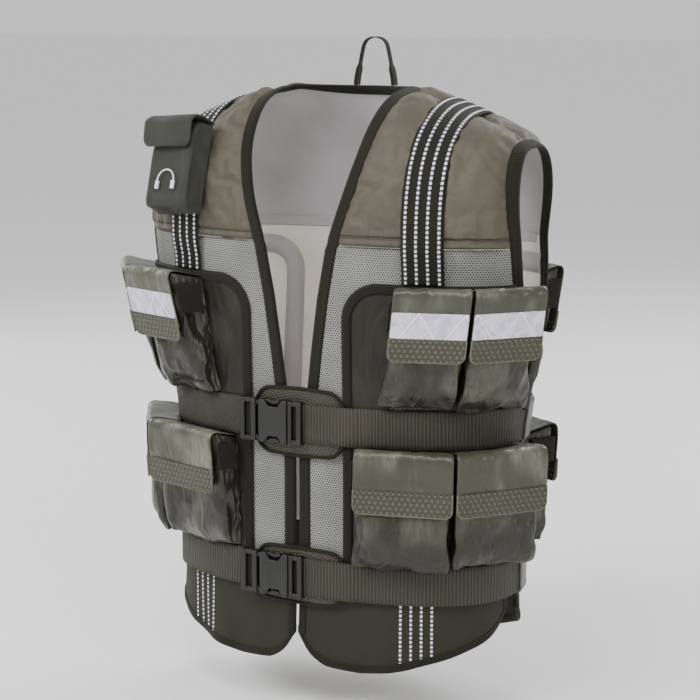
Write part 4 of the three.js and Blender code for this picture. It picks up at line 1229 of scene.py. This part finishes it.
def cord_rows(mesh, spot_at, height, rows, across):
    """Adds a reflective line at each distance across a strap or skirt."""
    width = bpy.context.scene.vest_sizes.cord_width / MM
    for line in across:
        slab(
            mesh, 2, rows,
            lambda u, v, line=line: spot_at(line + (u - 0.5) * width, v),
            lambda u, v: height(v) - 0.3,
            lambda u, v: height(v) + (0.9 if abs(u - 0.5) < 0.1 else 0.15)
        )


def cord_lines():
    pitch = bpy.context.scene.vest_sizes.cord_pitch / MM
    return [(k - 1.5) * pitch for k in range(4)]


class VEST_OT_straps(bpy.types.Operator):
    """Shoulder straps with four reflective lines each"""

    bl_idname = "vest.straps"
    bl_label = "Shoulder straps"

    def execute(self, context):
        for side, sign in SIDES:
            grid = (
                8, 130,
                lambda u, v: strap_spot((u - 0.5) * STRAP_WIDTH, v, sign),
                lambda u, v: strap_height(v),
                lambda u, v: strap_height(v) + mix(1.2, WEBBING_THICKNESS, ease(min(u, 1 - u), 0, 0.1))
            )
            name = f"shoulder_strap_{side}"
            strap = sheet(
                f"woven_{name}", ("webbing",), grid, name,
            )
            mesh = bmesh.new()
            cord_rows(
                mesh,
                lambda across, v: strap_spot(across, v, sign),
                lambda v: strap_height(v) + WEBBING_THICKNESS,
                150, cord_lines()
            )
            piece(f"{strap.name}_lines", mesh, [look("cord")])
        return {"FINISHED"}


# Skirts
def hem_level(place, down):
    """Level of a skirt at a share of the way down to its hem."""
    around = 4 - place if place > 2 else place
    share = lookup(FRONT_HEM if around < 1 else BACK_HEM, around, 0.02)
    return -LOWER_BELT_DROP - SEAM_GAP / 2 - down * (SKIRT_DROP * share - SEAM_GAP)


def skirt_sway(place, down):
    """Low waves of the free hem."""
    return down**2 * (1.6 * math.sin(place * 19) + 1.1 * math.sin(place * 31 + 1))


def skirt_spot(place, down, sign, level=None):
    level = hem_level(place, down) if level is None else level
    point, normal = ring(place, level)
    return mirrored((point + normal * (skirt_sway(place, down) + down * 1.5), normal), sign)


class VEST_OT_skirts(bpy.types.Operator):
    """Knitted skirts below the lower belt, with their bound hems and reflective lines"""

    bl_idname = "vest.skirts"
    bl_label = "Skirts"

    def execute(self, context):
        start = FRONT_GAP / 2 / quarter_length(-HEM_DROP)
        front, back = front_place(CORD_X, -HEM_DROP), back_place(CORD_X, -HEM_DROP)
        parts = [
            ("front_skirt_left", start, 1 - SKIRT_SEAM_SHARE, 1, [front]),
            ("front_skirt_right", start, 1 - SKIRT_SEAM_SHARE, -1, [front]),
            ("back_skirt", 1 + SKIRT_SEAM_SHARE, 3 - SKIRT_SEAM_SHARE, 1, [back, 4 - back])
        ]
        for name, first, last, sign, lines in parts:
            columns, cloth = (100, "skirt") if name == "back_skirt" else (50, "smooth_skirt")
            grid = (columns, 22, lambda u, v: skirt_spot(mix(first, last, u), v, sign), 0, SKIRT_THICKNESS)
            sheet(f"knitted_{name}", (cloth,), grid, name)
            mesh = bmesh.new()
            width, *heights = HEM_ROLL
            inner, outer = rolled(*heights)

            def hem(u, v, first=first, last=last, sign=sign):
                place = mix(first, last, v)
                level = hem_level(place, 1)
                down = 1 - u * width / SKIRT_DROP
                return skirt_spot(place, down, sign, level + u * width)

            slab(mesh, 8, 2 * columns, hem, inner, outer)
            for edge, way in ((first, 1), (last, -1)):

                def upright(u, v, edge=edge, way=way):
                    place = edge + way * u * width / quarter_length(-HEM_DROP)
                    return skirt_spot(place, v, sign, hem_level(edge, v))

                slab(mesh, 8, 16, upright, inner, outer)
            piece(f"{name}_hem", mesh, [look("tape")])

            mesh = bmesh.new()
            for line in lines:
                cord_rows(
                    mesh,
                    lambda across, v, line=line: skirt_spot(
                        line + across / quarter_length(-HEM_DROP), mix(0.02, 0.9, v), sign
                    ),
                    lambda v: SKIRT_THICKNESS,
                    40, cord_lines()
                )
                if name == "back_skirt":
                    self.over_belt(mesh, line)
            piece(f"{name}_lines", mesh, [look("cord")])
        return {"FINISHED"}

    def over_belt(self, mesh, line):
        """The lines behind go on up over the lower belt."""
        top, foot = BELT_WIDTH / 2 - LOWER_BELT_DROP, -BELT_WIDTH / 2 - LOWER_BELT_DROP - 1

        def spot(across, v):
            level = mix(top, foot, v)
            return ring(line + across / quarter_length(level, True), level)

        cord_rows(mesh, spot, lambda v: UNDER_BEND + WEBBING_THICKNESS, 14, cord_lines())


# Belts
class VEST_OT_belts(bpy.types.Operator):
    """Ribbed belts, the free end that hangs from the lower one, and the loops that hold them"""

    bl_idname = "vest.belts"
    bl_label = "Belts"

    def execute(self, context):
        for name, drop, _ in BELTS:
            level = -drop
            half = BUCKLE_LENGTH / 2 + SEAM_GAP
            start = front_place(BUCKLE_X + half - 6, level)
            end = 4 + front_place(BUCKLE_X - half + 4, level)
            tab_end = front_place(TAB_X + TAB_LENGTH / 2 + 4, level)
            tab_start = 4 + front_place(TAB_X - TAB_LENGTH / 2 - 4, level)

            def height(v, start=start, end=end, tab_end=tab_end, tab_start=tab_start):
                place = mix(start, end, v)
                over_tab = max(tab_end - place, place - tab_start)
                return mix(UNDER_BEND, OVER_TAB, ease(over_tab, -BELT_RAMP, 0))

            grid = (
                6, 320,
                lambda u, v: ring(mix(start, end, v), level + (u - 0.5) * BELT_WIDTH),
                lambda u, v: height(v),
                lambda u, v: height(v) + WEBBING_THICKNESS
            )
            sheet(
                f"woven_{name}_belt", ("belt",), grid, f"{name}_belt",
            )
            self.loops(name, level)
        self.adjuster()
        self.tail()
        return {"FINISHED"}

    def loops(self, name, level):
        """Satin loops over the belt at the back centre and at each side."""
        for label, place, wide in BELT_LOOPS:
            half = wide / 2 / quarter_length(level, True)
            mesh = bmesh.new()

            def outer(u, v):
                near = ease(min(v, 1 - v), 0, 0.12)
                fold = noise.noise(Vector((u * 6, v * 4, wide))) * 0.5
                return mix(UNDER_BEND + 0.7, UNDER_BEND + WEBBING_THICKNESS + 2, near) + fold * near

            slab(
                mesh, 12, 20,
                lambda u, v: ring(
                    mix(place - half, place + half, u), level + (v - 0.5) * (BELT_WIDTH + LOOP_OVERLAP)
                ),
                lambda u, v: UNDER_BEND + WEBBING_THICKNESS + 0.3 if 0.06 < v < 0.94 else 5.0,
                outer
            )
            piece(f"{name}_belt_loop_{label}", mesh, [look("loop_satin")])

    def adjuster(self):
        """A folded tab at the wearer's left side, and the webbing loop that hangs from it."""
        place, half = ADJUSTER_PLACE, 11 / quarter_length(-UPPER_BELT_DROP)
        mesh = bmesh.new()

        def tab(u, v):
            level = mix(-236, -262, v)
            return ring(mix(place - half, place + half, u), level)

        slab(mesh, 6, 10, tab, PANEL_FACE - 2, lambda u, v: 7 + 2 * math.sin(math.pi * v))

        def loop(u, v):
            angle = 2 * math.pi * v
            point, out = ring(place, -UPPER_BELT_DROP)
            side = np.array([-out[1], out[0], 0])
            point = point + side * (u - 0.5) * 9 + out * (12 - 4 * math.cos(angle))
            point[2] = -272 - 15 * math.sin(angle) * 1.2 - 9 * math.cos(angle)
            return point, unit(out * math.cos(angle) + np.array([0, 0, -math.sin(angle)]))

        slab(mesh, 3, 40, loop, 0, 1.4)
        piece("side_adjuster", mesh, [look("webbing")])

    def tail(self):
        """The free end swings out from the body towards its tip."""
        top = -LOWER_BELT_DROP + BELT_WIDTH / 2 - 2 * LAYER_GAP
        half = TAIL_WIDTH / 2 / quarter_length(top, True)

        def spot(u, v):
            point, normal = ring(mix(TAIL_PLACE - half, TAIL_PLACE + half, u), -LOWER_BELT_DROP)
            point = point + normal * (math.sin(v * 2.6) * 3 + v * v * 4)
            point[2] = top - v * TAIL_LENGTH
            return point, normal

        height = UNDER_BEND + WEBBING_THICKNESS + LAYER_GAP
        grid = (6, 44, spot, height, height + WEBBING_THICKNESS)
        sheet("woven_belt_tail", ("belt",), grid, "belt_tail")


# Buckles
def plate(mesh, outline, near, far, bevel):
    """Adds a flat plate with eased edges: outline in x and z, from one distance in front to another."""
    corners = [mesh.verts.new((x * MM, -near * MM, z * MM)) for x, z in outline]
    face = mesh.faces.new(corners)
    grown = bmesh.ops.extrude_face_region(mesh, geom=[face])["geom"]
    moved = [item for item in grown if isinstance(item, bmesh.types.BMVert)]
    bmesh.ops.translate(mesh, verts=moved, vec=(0, -(far - near) * MM, 0))
    edges = list({edge for corner in corners + moved for edge in corner.link_edges})
    bmesh.ops.bevel(
        mesh, geom=edges, offset=bevel * MM, segments=3, profile=0.5, affect="EDGES", material=-1
    )


def both_ways(half):
    """An outline closed by its mirror image below."""
    return half + [(x, -z) for x, z in reversed(half)]


def bar(mesh, x, z, near, far, bevel):
    """Adds a straight plate between two places in x and two in z."""
    plate(mesh, [(x[0], z[0]), (x[1], z[0]), (x[1], z[1]), (x[0], z[1])], near, far, bevel)


class VEST_OT_buckles(bpy.types.Operator):
    """Side-release buckles and the padded tabs behind them"""

    bl_idname = "vest.buckles"
    bl_label = "Buckles"

    def execute(self, context):
        for name, drop, height in BELTS:
            self.tab(name, drop, height)
            front = section(float(-drop))[1] + OVER_TAB
            self.buckle(name, Vector((BUCKLE_X * MM, -front * MM, -drop * MM)))
        return {"FINISHED"}

    def tab(self, name, drop, height):
        corner = height / 3

        def half_length(share):
            into = max(abs(share) * height / 2 - (height / 2 - corner), 0) / corner
            return TAB_LENGTH / 2 - corner * (1 - math.sqrt(max(1 - into**2, 0)))

        def spot(u, v):
            share = math.sin((2 * v - 1) * math.pi / 2)
            level = -drop + share * height / 2
            half = half_length(share)
            return ring(front_place(mix(TAB_X - half, TAB_X + half, u), level), level)

        def outer(u, v):
            crown = ease(min(u, 1 - u), 0, 0.12) * ease(min(v, 1 - v), 0, 0.2)
            return OVER_PANEL + mix(1.2, TAB_THICKNESS + 0.2, crown)

        mesh = bmesh.new()
        slab(mesh, 28, 26, spot, OVER_PANEL, outer)
        node = f"{name}_buckle_tab"
        made = piece(f"padded_{node}", mesh, [look("pad")], node)
        rim = []
        for angle in np.linspace(-math.pi, math.pi, 97):
            share = math.sin(angle)
            share = math.copysign(abs(share) ** 0.8, share)
            level = -drop + share * height / 2
            x = TAB_X + math.copysign(half_length(share), math.cos(angle))
            if abs(math.cos(angle)) < 0.35:
                x = TAB_X + half_length(share) * math.cos(angle) / 0.35
            point, normal = ring(front_place(x, level), level)
            rim.append(point + normal * (OVER_PANEL + 1.6))
        mesh = bmesh.new()
        tube(mesh, rim, RIM_RADIUS, 10)
        piece(f"{node}_rim", mesh, [look("tape")])

    def buckle(self, name, place):
        """A waisted socket, a prong's arm in each of its side openings, and a webbing bar at each end."""
        socket = bmesh.new()
        plate(socket, both_ways(SOCKET), 0.6, 10, 1.1)
        bar(socket, (21.5, 26), (22.5, -22.5), 0.6, 8.6, 0.9)
        bar(socket, (31.5, 37), (22.5, -22.5), 0.6, 8.2, 1.0)
        for z in (-20, 20):
            bar(socket, (20, 33), (z - 2.5, z + 2.5), 1.2, 7.8, 0.8)
        prongs = bmesh.new()
        bar(prongs, (-23, -17), (22, -22), 0.8, 8.8, 0.9)
        bar(prongs, (-37, -31), (22.5, -22.5), 0.6, 8.2, 1.0)
        for side in (-1, 1):
            plate(prongs, [(x, side * z) for x, z in PRONG_ARM], 2.2, 7.4, 0.6)
            bar(prongs, (-33, -18), (side * 20 - 2.5, side * 20 + 2.5), 1.2, 7.6, 0.8)
        webbing = bmesh.new()
        for reach in ((-36, -18), (20, 35)):
            bar(webbing, reach, (19.5, -19.5), 1.6, 4.4, 0.5)
        for mesh in (socket, prongs, webbing):
            bmesh.ops.translate(mesh, verts=mesh.verts[:], vec=place)
        node = f"{name}_buckle"
        piece(f"{node}_socket", socket, [look("plastic")], node, sharp=35)
        piece(f"{node}_prongs", prongs, [look("plastic")], node, sharp=35)
        piece(f"{node}_webbing", webbing, [look("webbing")])


# Pockets
def pocket_size(upper):
    """Levels of a bag's top and base, its width, its depths at top and base, and its flap's length."""
    flap_room, belt_edge = FLAP_THICKNESS + 2 * LAYER_GAP, BELT_WIDTH / 2 + 2 * LAYER_GAP
    if upper:
        return (-POCKET_PANEL_DROP - 2 * flap_room, -UPPER_BELT_DROP + belt_edge, *UPPER_POCKET)
    return (-UPPER_BELT_DROP - belt_edge - flap_room, -LOWER_BELT_DROP + belt_edge, *LOWER_POCKET)


def height_over(point):
    """Height of a point above the body, along the level section's normal."""
    half, front, back = section(round(float(point[2]), 1))
    depth = front if point[1] < 0 else back
    x, y = abs(point[0]) / half, abs(point[1]) / depth
    scale = (x**SQUARENESS + y**SQUARENESS) ** (1 / SQUARENESS)
    power = SQUARENESS - 1
    slope = math.hypot(x**power / half, y**power / depth) * scale**-power
    return (scale - 1) / slope


def back_to_body(point, inward, height):
    near, far = 0.0, 140.0
    for _ in range(16):
        middle = (near + far) / 2
        if height_over(point + inward * middle) > height:
            near = middle
        else:
            far = middle
    return point + inward * near


def turned(vector, angle):
    x, y, z = vector
    c, s = math.cos(angle), math.sin(angle)
    return np.array([x * c - y * s, x * s + y * c, z])


@lru_cache(maxsize=None)
def pocket_frame(pair, hand):
    place, fan, _ = PAIRS[pair]
    normal = ring(place, -UPPER_BELT_DROP)[1]
    angle = math.radians(fan) * hand
    across = turned(np.array([-normal[1], normal[0], 0]), angle)
    return normal, turned(normal, angle), across * hand


def pocket_point(pair, hand, share, level, extra):
    """A point on a pocket's front and the way back to the body from it."""
    place, _, upper = PAIRS[pair]
    top, base, width, top_depth, base_depth, _ = pocket_size(upper)
    ridge, normal, across = pocket_frame(pair, hand)
    depth = mix(top_depth, base_depth, clamp((top - level) / (top - base))) + extra
    start = ring(place, level)[0] + ridge * depth
    point = start + across * (2 * LAYER_GAP + share * width)
    return point, -unit(mix(ridge, normal, share))


def each_pocket():
    for pair in PAIRS:
        for side, sign in SIDES:
            for letter, hand in (("a", -1), ("b", 1)):
                yield pair, side, sign, letter, hand


class VEST_OT_bags(bpy.types.Operator):
    """Sixteen nylon bags that hold the weights, swollen and creased, with their fastener strips"""

    bl_idname = "vest.bags"
    bl_label = "Pocket bags"

    def execute(self, context):
        for number, (pair, side, sign, letter, hand) in enumerate(each_pocket()):
            self.bag(number, pair, side, sign, letter, hand)
        return {"FINISHED"}

    def bag(self, number, pair, side, sign, letter, hand):
        upper = PAIRS[pair][2]
        top, base, *_, flap = pocket_size(upper)
        cuts = bpy.context.scene.vest_sizes.bag_cuts
        mesh = block(cuts)
        held, cap, folds = [], [], []
        puff = bpy.context.scene.vest_sizes.bag_puff / MM
        fronts = {}
        for corner in mesh.verts:
            a, c, b = (corner.co.x + 0.5, corner.co.y + 0.5, corner.co.z + 0.5)
            key = (round(a * (cuts + 1)), round(b * (cuts + 1)))
            if key not in fronts:
                level = mix(base, top, b)
                tuck = 9 * ease(b, 0.14, 0) + 3 * ease(b, 0.3, 0.7)
                edge = 4 * ease(min(a, 1 - a), 0.08, 0)
                front, inward = pocket_point(
                    pair, hand, mix(0.02, 0.98, a), level, -2.2 - edge - tuck * 0.6
                )
                fronts[key] = front, back_to_body(front, inward, UNDER_BEND)
            front, behind = fronts[key]
            spot = mix(behind, front, c)
            spot[2] += (POCKET_TOP_RISE - 1) * c * ease(b, 0.8, 1)
            corner.co = Vector((spot[0] * sign * MM, spot[1] * MM, spot[2] * MM))
            below = (top - mix(base, top, b)) - flap * 0.9
            held.append(c < 0.01 or b > 0.99)
            free = ease(below, -6, 8)
            front_only = ease(c, 0.5, 1)
            inner_side = 1 - ease(min(a * 6, 1), 0, 1)
            cap.append(mix(0.8, puff, max(free, 0.5 * (1 - front_only))) * mix(1, 0.35, inner_side))
            folds.append(0 if held[-1] else mix(0.2, 1, free))
        node = f"{pair}_pocket_{side}_{letter}"
        made = piece(
            f"{pair}_bag_{side}_{letter}", mesh, [look("nylon")], node, subdivide=1
        )
        crumple(made, depth=3.0, size=40, seed=number, share=folds, stretch=(1.1, 1.1, 0.8))
        inflate(made, held, pressure=4.0, slack=0.05, cap=cap)
        crumple(made, depth=1.8, size=19, seed=number + 40, share=folds, stretch=(1.1, 1.1, 0.8))

        def wall(u, v):
            foot = FASTENER_UPPER_FOOT if upper else FASTENER_LOWER_FOOT
            level = mix(top - FASTENER_DROP, top - foot, v)
            front, inward = pocket_point(pair, hand, 0.985, level, -5)
            behind = back_to_body(front, inward, UNDER_BEND + 6)
            out = pocket_frame(pair, hand)[2]
            return mirrored((mix(behind, front, u), out), sign)

        mesh = bmesh.new()
        slab(mesh, 10, 8, wall, 0.6, 4.2)
        piece(f"{pair}_fastener_{side}_{letter}", mesh, [look("fuzzy")])


class FlapCurve:
    """The line of a flap at one share of its width: out over the bag's top, then down its front."""

    def __init__(self, pair, hand, share):
        top, *_, flap = pocket_size(PAIRS[pair][2])
        top += 2 * LAYER_GAP
        foot = top - flap
        front, inward = pocket_point(pair, hand, share, top, 1.6)
        hinge = back_to_body(front, inward, UNDER_BEND)
        rise = np.array([0, 0, 1.0])
        edge = front + rise * (POCKET_TOP_RISE + 0.6)
        low = pocket_point(pair, hand, share, foot, 2.4)[0]
        start, end = unit(hinge - edge), unit(low - edge)
        start, end = edge + start * FLAP_BEND, edge + end * FLAP_BEND
        turn = [(1 - t) ** 2 * start + 2 * t * (1 - t) * edge + t * t * end for t in np.linspace(0, 1, 9)]
        flat = [mix(hinge, start, t) for t in np.linspace(0, 1, 6)[:-1]]
        hang = [mix(end, low, t) for t in np.linspace(0, 1, 12)[1:]]
        self.points = np.array(flat + turn + hang)
        self.run = lengths(self.points)
        self.out = -inward

    def at(self, run):
        return np.array([np.interp(run, self.run, self.points[:, k]) for k in range(3)])

    def spot(self, run):
        along = unit(self.at(run + 0.5) - self.at(run - 0.5))
        side = np.cross([0, 0, 1.0], self.out)
        normal = unit(np.cross(side, along))
        if normal @ (self.out + [0, 0, 1.0]) < 0:
            normal = -normal
        return self.at(run), normal


@lru_cache(maxsize=None)
def flap_curve(pair, hand, share):
    return FlapCurve(pair, hand, share)


class VEST_OT_flaps(bpy.types.Operator):
    """Pocket flaps, the reflective bands of the upper ones and the domed tab at the foot of each"""

    bl_idname = "vest.flaps"
    bl_label = "Pocket flaps"

    def execute(self, context):
        sizes = context.scene.vest_sizes
        band, tab = sizes.band_height / MM, sizes.grip_height / MM
        for number, (pair, side, sign, letter, hand) in enumerate(each_pocket()):
            upper = PAIRS[pair][2]
            width = pocket_size(upper)[2]
            label = f"{side}_{letter}"
            total = flap_curve(pair, hand, 0.5).run[-1]

            def on_flap(share, left, sign=sign, pair=pair, hand=hand):
                """A spot at a share of the width, and a distance from the flap's foot."""
                curve = flap_curve(pair, hand, round(clamp(share), 4))
                return mirrored(curve.spot(curve.run[-1] - left), sign)

            def rounded(share, left, width=width):
                into = clamp((TAB_CORNER - left) / TAB_CORNER)
                half = 0.5 - (TAB_INSET + TAB_CORNER * (1 - math.sqrt(max(1 - into**2, 0)))) / width
                return 0.5 + (share - 0.5) * 2 * half

            def pucker(u, v, number=number):
                fold = noise.noise(Vector((u * 7, v * 5, number * 3.7)))
                seam = noise.noise(Vector((u * 22, v * 2, number * 1.7))) * ease(v, 0.5, 0.3)
                return (fold + seam * 0.5) * ease(v, 0, 0.15)

            foot = tab * 0.55
            grid = (
                20, 27,
                lambda u, v: on_flap(u, mix(total, foot, v)),
                lambda u, v: pucker(u, v) * 0.7,
                lambda u, v: 1.6 + pucker(u, v)
            )
            sheet(
                f"{pair}_cover_{label}", ("flap",), grid, f"{pair}_flap_{label}",
                subdivide=1
            )
            if upper:
                mesh = bmesh.new()
                slab(
                    mesh, 24, 14,
                    lambda u, v: on_flap(mix(0.012, 0.988, u), mix(tab + band, tab, v)),
                    1.0,
                    lambda u, v: 3.0 + 0.3 * noise.noise(Vector((u * 6, v * 3, number)))
                )
                piece(f"{pair}_band_{label}", mesh, [look("band")], subdivide=1)

            mesh = bmesh.new()
            high = tab + (0 if upper else 1)
            slab(
                mesh, 30, 16,
                lambda u, v: on_flap(rounded(u, mix(high, 0, v)), mix(high, 0, v)),
                0.2,
                lambda u, v: 3.4 - 0.9 * ease(v, 0.1, 0)
            )
            rim = []
            for share, left in (
                [(0, z) for z in np.linspace(high, 0.5, 14)]
                + [(s, 0.2) for s in np.linspace(0, 1, 18)[1:-1]]
                + [(1, z) for z in np.linspace(0.5, high, 14)]
            ):
                point, normal = on_flap(rounded(share, left), left)
                rim.append(point + normal * 2.6)
            tube(mesh, rim, PIPING_RADIUS, 6, kind=1)
            piece(f"{pair}_tab_{label}", mesh, [look("grip"), look("piping")])
        return {"FINISHED"}


# Music pouch
class VEST_OT_pouch(bpy.types.Operator):
    """Neoprene pouch on the wearer's right strap, with its flap and a plain earphone sign"""

    bl_idname = "vest.pouch"
    bl_label = "Music pouch"

    def execute(self, context):
        point, normal = arch(-STRAP_FRONT_X, POUCH_TURN)
        up = unit(np.cross(normal, [1.0, 0, 0]))
        across = unit(np.cross(up, normal))
        origin = point + normal * (OVER_YOKE + WEBBING_THICKNESS + LAYER_GAP)

        def put(x, y, z):
            return origin + across * x + up * y + normal * z

        mesh = block(15)
        held = []
        for corner in mesh.verts:
            a, b, c = corner.co.x, corner.co.y, corner.co.z + 0.5
            held.append(c < 0.01)
            depth = POUCH_DEPTH * mix(1.06, 0.85, ease(b, 0.1, 0.5)) - 3
            depth -= 3 * ease(abs(a), 0.4, 0.5) + 3 * ease(abs(b), 0.42, 0.5)
            x = a * (POUCH_WIDTH + 5) * mix(1, 0.95, c)
            y = b * (POUCH_HEIGHT + 2) + 5 * c * ease(b, -0.3, -0.5)
            corner.co = Vector(put(x, y, c * depth) * MM)
        made = piece(
            "soft_music_pouch", mesh, [look("neoprene")], "music_pouch", subdivide=1
        )
        inflate(made, held, pressure=3.0, slack=0.02, cap=2.5)

        rises = ((1, 1.5), (3, 8), (5, 18), (5, 27), (-1, 32), (-POUCH_HEIGHT * 0.3, 30))
        line = np.array([(POUCH_HEIGHT / 2 + rise, out) for rise, out in rises])
        steps = lengths(line)

        def at(run):
            return [np.interp(run, steps, line[:, k]) for k in (0, 1)]

        def flap(u, v):
            run = v * steps[-1]
            y, z = at(run)
            y2, z2 = at(run + 1)
            y1, z1 = at(run - 1)
            along = unit(up * (y2 - y1) + normal * (z2 - z1))
            out = unit(np.cross(along, across))
            if out @ (up + normal) < 0:
                out = -out
            half = POUCH_WIDTH / 2 + 3 - 6 * (1 - math.sqrt(max(1 - ease(v, 0.85, 1) ** 2, 0)))
            lift = 4 * math.sin(math.pi * u) * ease(v, 0.2, 0.7)
            corner = ease(u, 0.35, 0) * ease(v, 0.25, 0.6) * ease(v, 1.3, 0.8)
            x = (2 * u - 1) * half - 3 * corner
            return put(x, y + corner, z + lift - 3 + 3 * corner), out

        sheet(
            "soft_music_pouch_flap", ("neoprene",), (20, 30, flap, 0, FLAP_THICKNESS), "music_pouch_flap",
            subdivide=1
        )
        mesh = bmesh.new()
        face = POUCH_DEPTH + 0.8
        arc = [
            put(13 * math.cos(t) + 2, 11 * math.sin(t) - 16, face)
            for t in np.linspace(-0.2, math.pi + 0.2, 30)
        ]
        tube(mesh, arc, 0.8, 8)
        for x in (-10.5, 14.5):
            pad = [put(x, -16 + y, face) for y in np.linspace(-9, -1, 9)]
            tube(mesh, pad, 2.2, 10)
        piece("earphone_sign", mesh, [look("print")])
        return {"FINISHED"}


class VEST_OT_loop(bpy.types.Operator):
    """Webbing loop that stands up behind the neck"""

    bl_idname = "vest.loop"
    bl_label = "Hanging loop"

    def execute(self, context):
        seat = arch(0, back_neck_turn(0, 0))[0]
        edge = arch(LOOP_WIDTH / 2 + 2.5, back_neck_turn(LOOP_WIDTH / 2 + 2.5, 0))
        base = edge[0][2] + edge[1][2] * 3.25 + SEAM_GAP
        foot, narrow = LOOP_WIDTH / 2 + 1, LOOP_WIDTH / 3.6
        half = [
            (foot, -2.5), (foot * 0.97, LOOP_HEIGHT * 0.12), (foot * 0.9, LOOP_HEIGHT * 0.25),
            (mix(foot, narrow, 0.55), LOOP_HEIGHT * 0.6), (narrow * 1.15, LOOP_HEIGHT * 0.86),
            (narrow * 0.7, LOOP_HEIGHT * 0.97), (0, LOOP_HEIGHT)
        ]
        path = np.array(half + [(-x, z) for x, z in reversed(half[:-1])])
        steps = lengths(path)

        def at(run):
            spots = [clamp(run + k, 0, steps[-1]) for k in (-4, -2, 0, 2, 4)]
            return [float(np.mean(np.interp(spots, steps, path[:, k]))) for k in (0, 1)]

        def spot(u, v):
            x, z = at(v * steps[-1])
            x2, z2 = at(v * steps[-1] + 1)
            x1, z1 = at(v * steps[-1] - 1)
            out = unit(np.array([-(z2 - z1), 0, x2 - x1]))
            wide = mix(7.0, 10.0, ease(min(v, 1 - v), 0.2, 0.14))
            return np.array([x, seat[1] + (u - 0.5) * wide, base + z]), out

        def thick(u, v):
            return mix(0.6, 1.5, ease(min(v, 1 - v), 0.2, 0.14))

        grid = (6, 90, spot, lambda u, v: -thick(u, v), thick)
        sheet(
            "woven_hanging_loop", ("webbing",), grid, "hanging_loop",
        )
        return {"FINISHED"}


class VEST_OT_stage(bpy.types.Operator):
    """Camera, plain floor and soft studio light"""

    bl_idname = "vest.stage"
    bl_label = "Stage"

    def execute(self, context):
        scene = context.scene
        sizes = scene.vest_sizes
        turn, rise = sizes.azimuth, sizes.elevation
        back = Vector((math.sin(turn) * math.cos(rise), -math.cos(turn) * math.cos(rise), math.sin(rise)))
        data = bpy.data.cameras.new("Camera")
        camera = bpy.data.objects.new("Camera", data)
        scene.collection.objects.link(camera)
        camera.location = AIM + back * CAMERA_DISTANCE
        camera.rotation_mode = "QUATERNION"
        camera.rotation_quaternion = (-back).to_track_quat("-Z", "Y")
        data.lens = CAMERA_LENS
        scene.camera = camera

        mesh = bmesh.new()
        bmesh.ops.create_grid(mesh, x_segments=8, y_segments=8, size=FLOOR_REACH)
        bmesh.ops.translate(mesh, verts=mesh.verts[:], vec=(0, 0, FLOOR_LEVEL))
        data = bpy.data.meshes.new("floor")
        mesh.to_mesh(data)
        mesh.free()
        data.materials.append(look("floor"))
        floor = bpy.data.objects.new("floor", data)
        scene.collection.objects.link(floor)
        floor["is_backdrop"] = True

        for name, spot, size, power in LAMPS:
            lamp = bpy.data.lights.new(name, "AREA")
            lamp.energy = power
            lamp.size = size
            light = bpy.data.objects.new(name, lamp)
            scene.collection.objects.link(light)
            light.location = spot
            light.rotation_mode = "QUATERNION"
            light.rotation_quaternion = (AIM - Vector(spot)).to_track_quat("-Z", "Y")
        world = bpy.data.worlds.new("studio")
        world.use_nodes = True
        sky = world.node_tree.nodes["Background"]
        sky.inputs["Color"].default_value = (1, 1, 1, 1)
        sky.inputs["Strength"].default_value = 0.8
        scene.world = world
        return {"FINISHED"}


class VEST_PT_panel(bpy.types.Panel):
    """Lists the vest's pieces"""

    bl_label = "Weighted vest"
    bl_idname = "VEST_PT_panel"
    bl_space_type = "VIEW_3D"
    bl_region_type = "UI"
    bl_category = "Vest"

    def draw(self, context):
        for operator in OPERATORS:
            self.layout.operator(operator.bl_idname)
        for group in (context.scene.vest_sizes, context.scene.vest_colours):
            box = self.layout.box()
            for name in group.bl_rna.properties.keys():
                if name not in ("rna_type", "name"):
                    box.prop(group, name)


OPERATORS = (
    VEST_OT_stage, VEST_OT_yokes, VEST_OT_mesh, VEST_OT_panels, VEST_OT_bindings, VEST_OT_straps,
    VEST_OT_skirts, VEST_OT_belts, VEST_OT_buckles, VEST_OT_bags, VEST_OT_flaps, VEST_OT_pouch, VEST_OT_loop
)
CLASSES = (VestColours, VestSizes, *OPERATORS, VEST_PT_panel)


def register():
    for each in CLASSES:
        bpy.utils.register_class(each)
    bpy.types.Scene.vest_colours = PointerProperty(type=VestColours)
    bpy.types.Scene.vest_sizes = PointerProperty(type=VestSizes)


def unregister():
    del bpy.types.Scene.vest_sizes
    del bpy.types.Scene.vest_colours
    for each in reversed(CLASSES):
        bpy.utils.unregister_class(each)


def main():
    cad_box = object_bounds()
    register()
    for operator in OPERATORS:
        group, name = operator.bl_idname.split(".")
        getattr(getattr(bpy.ops, group), name)()
    sizes = {"cad": cad_box, "visual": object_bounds()}
    {key: [list(corner) for corner in box] for key, box in sizes.items()}


if __name__ == "__main__":
    main()
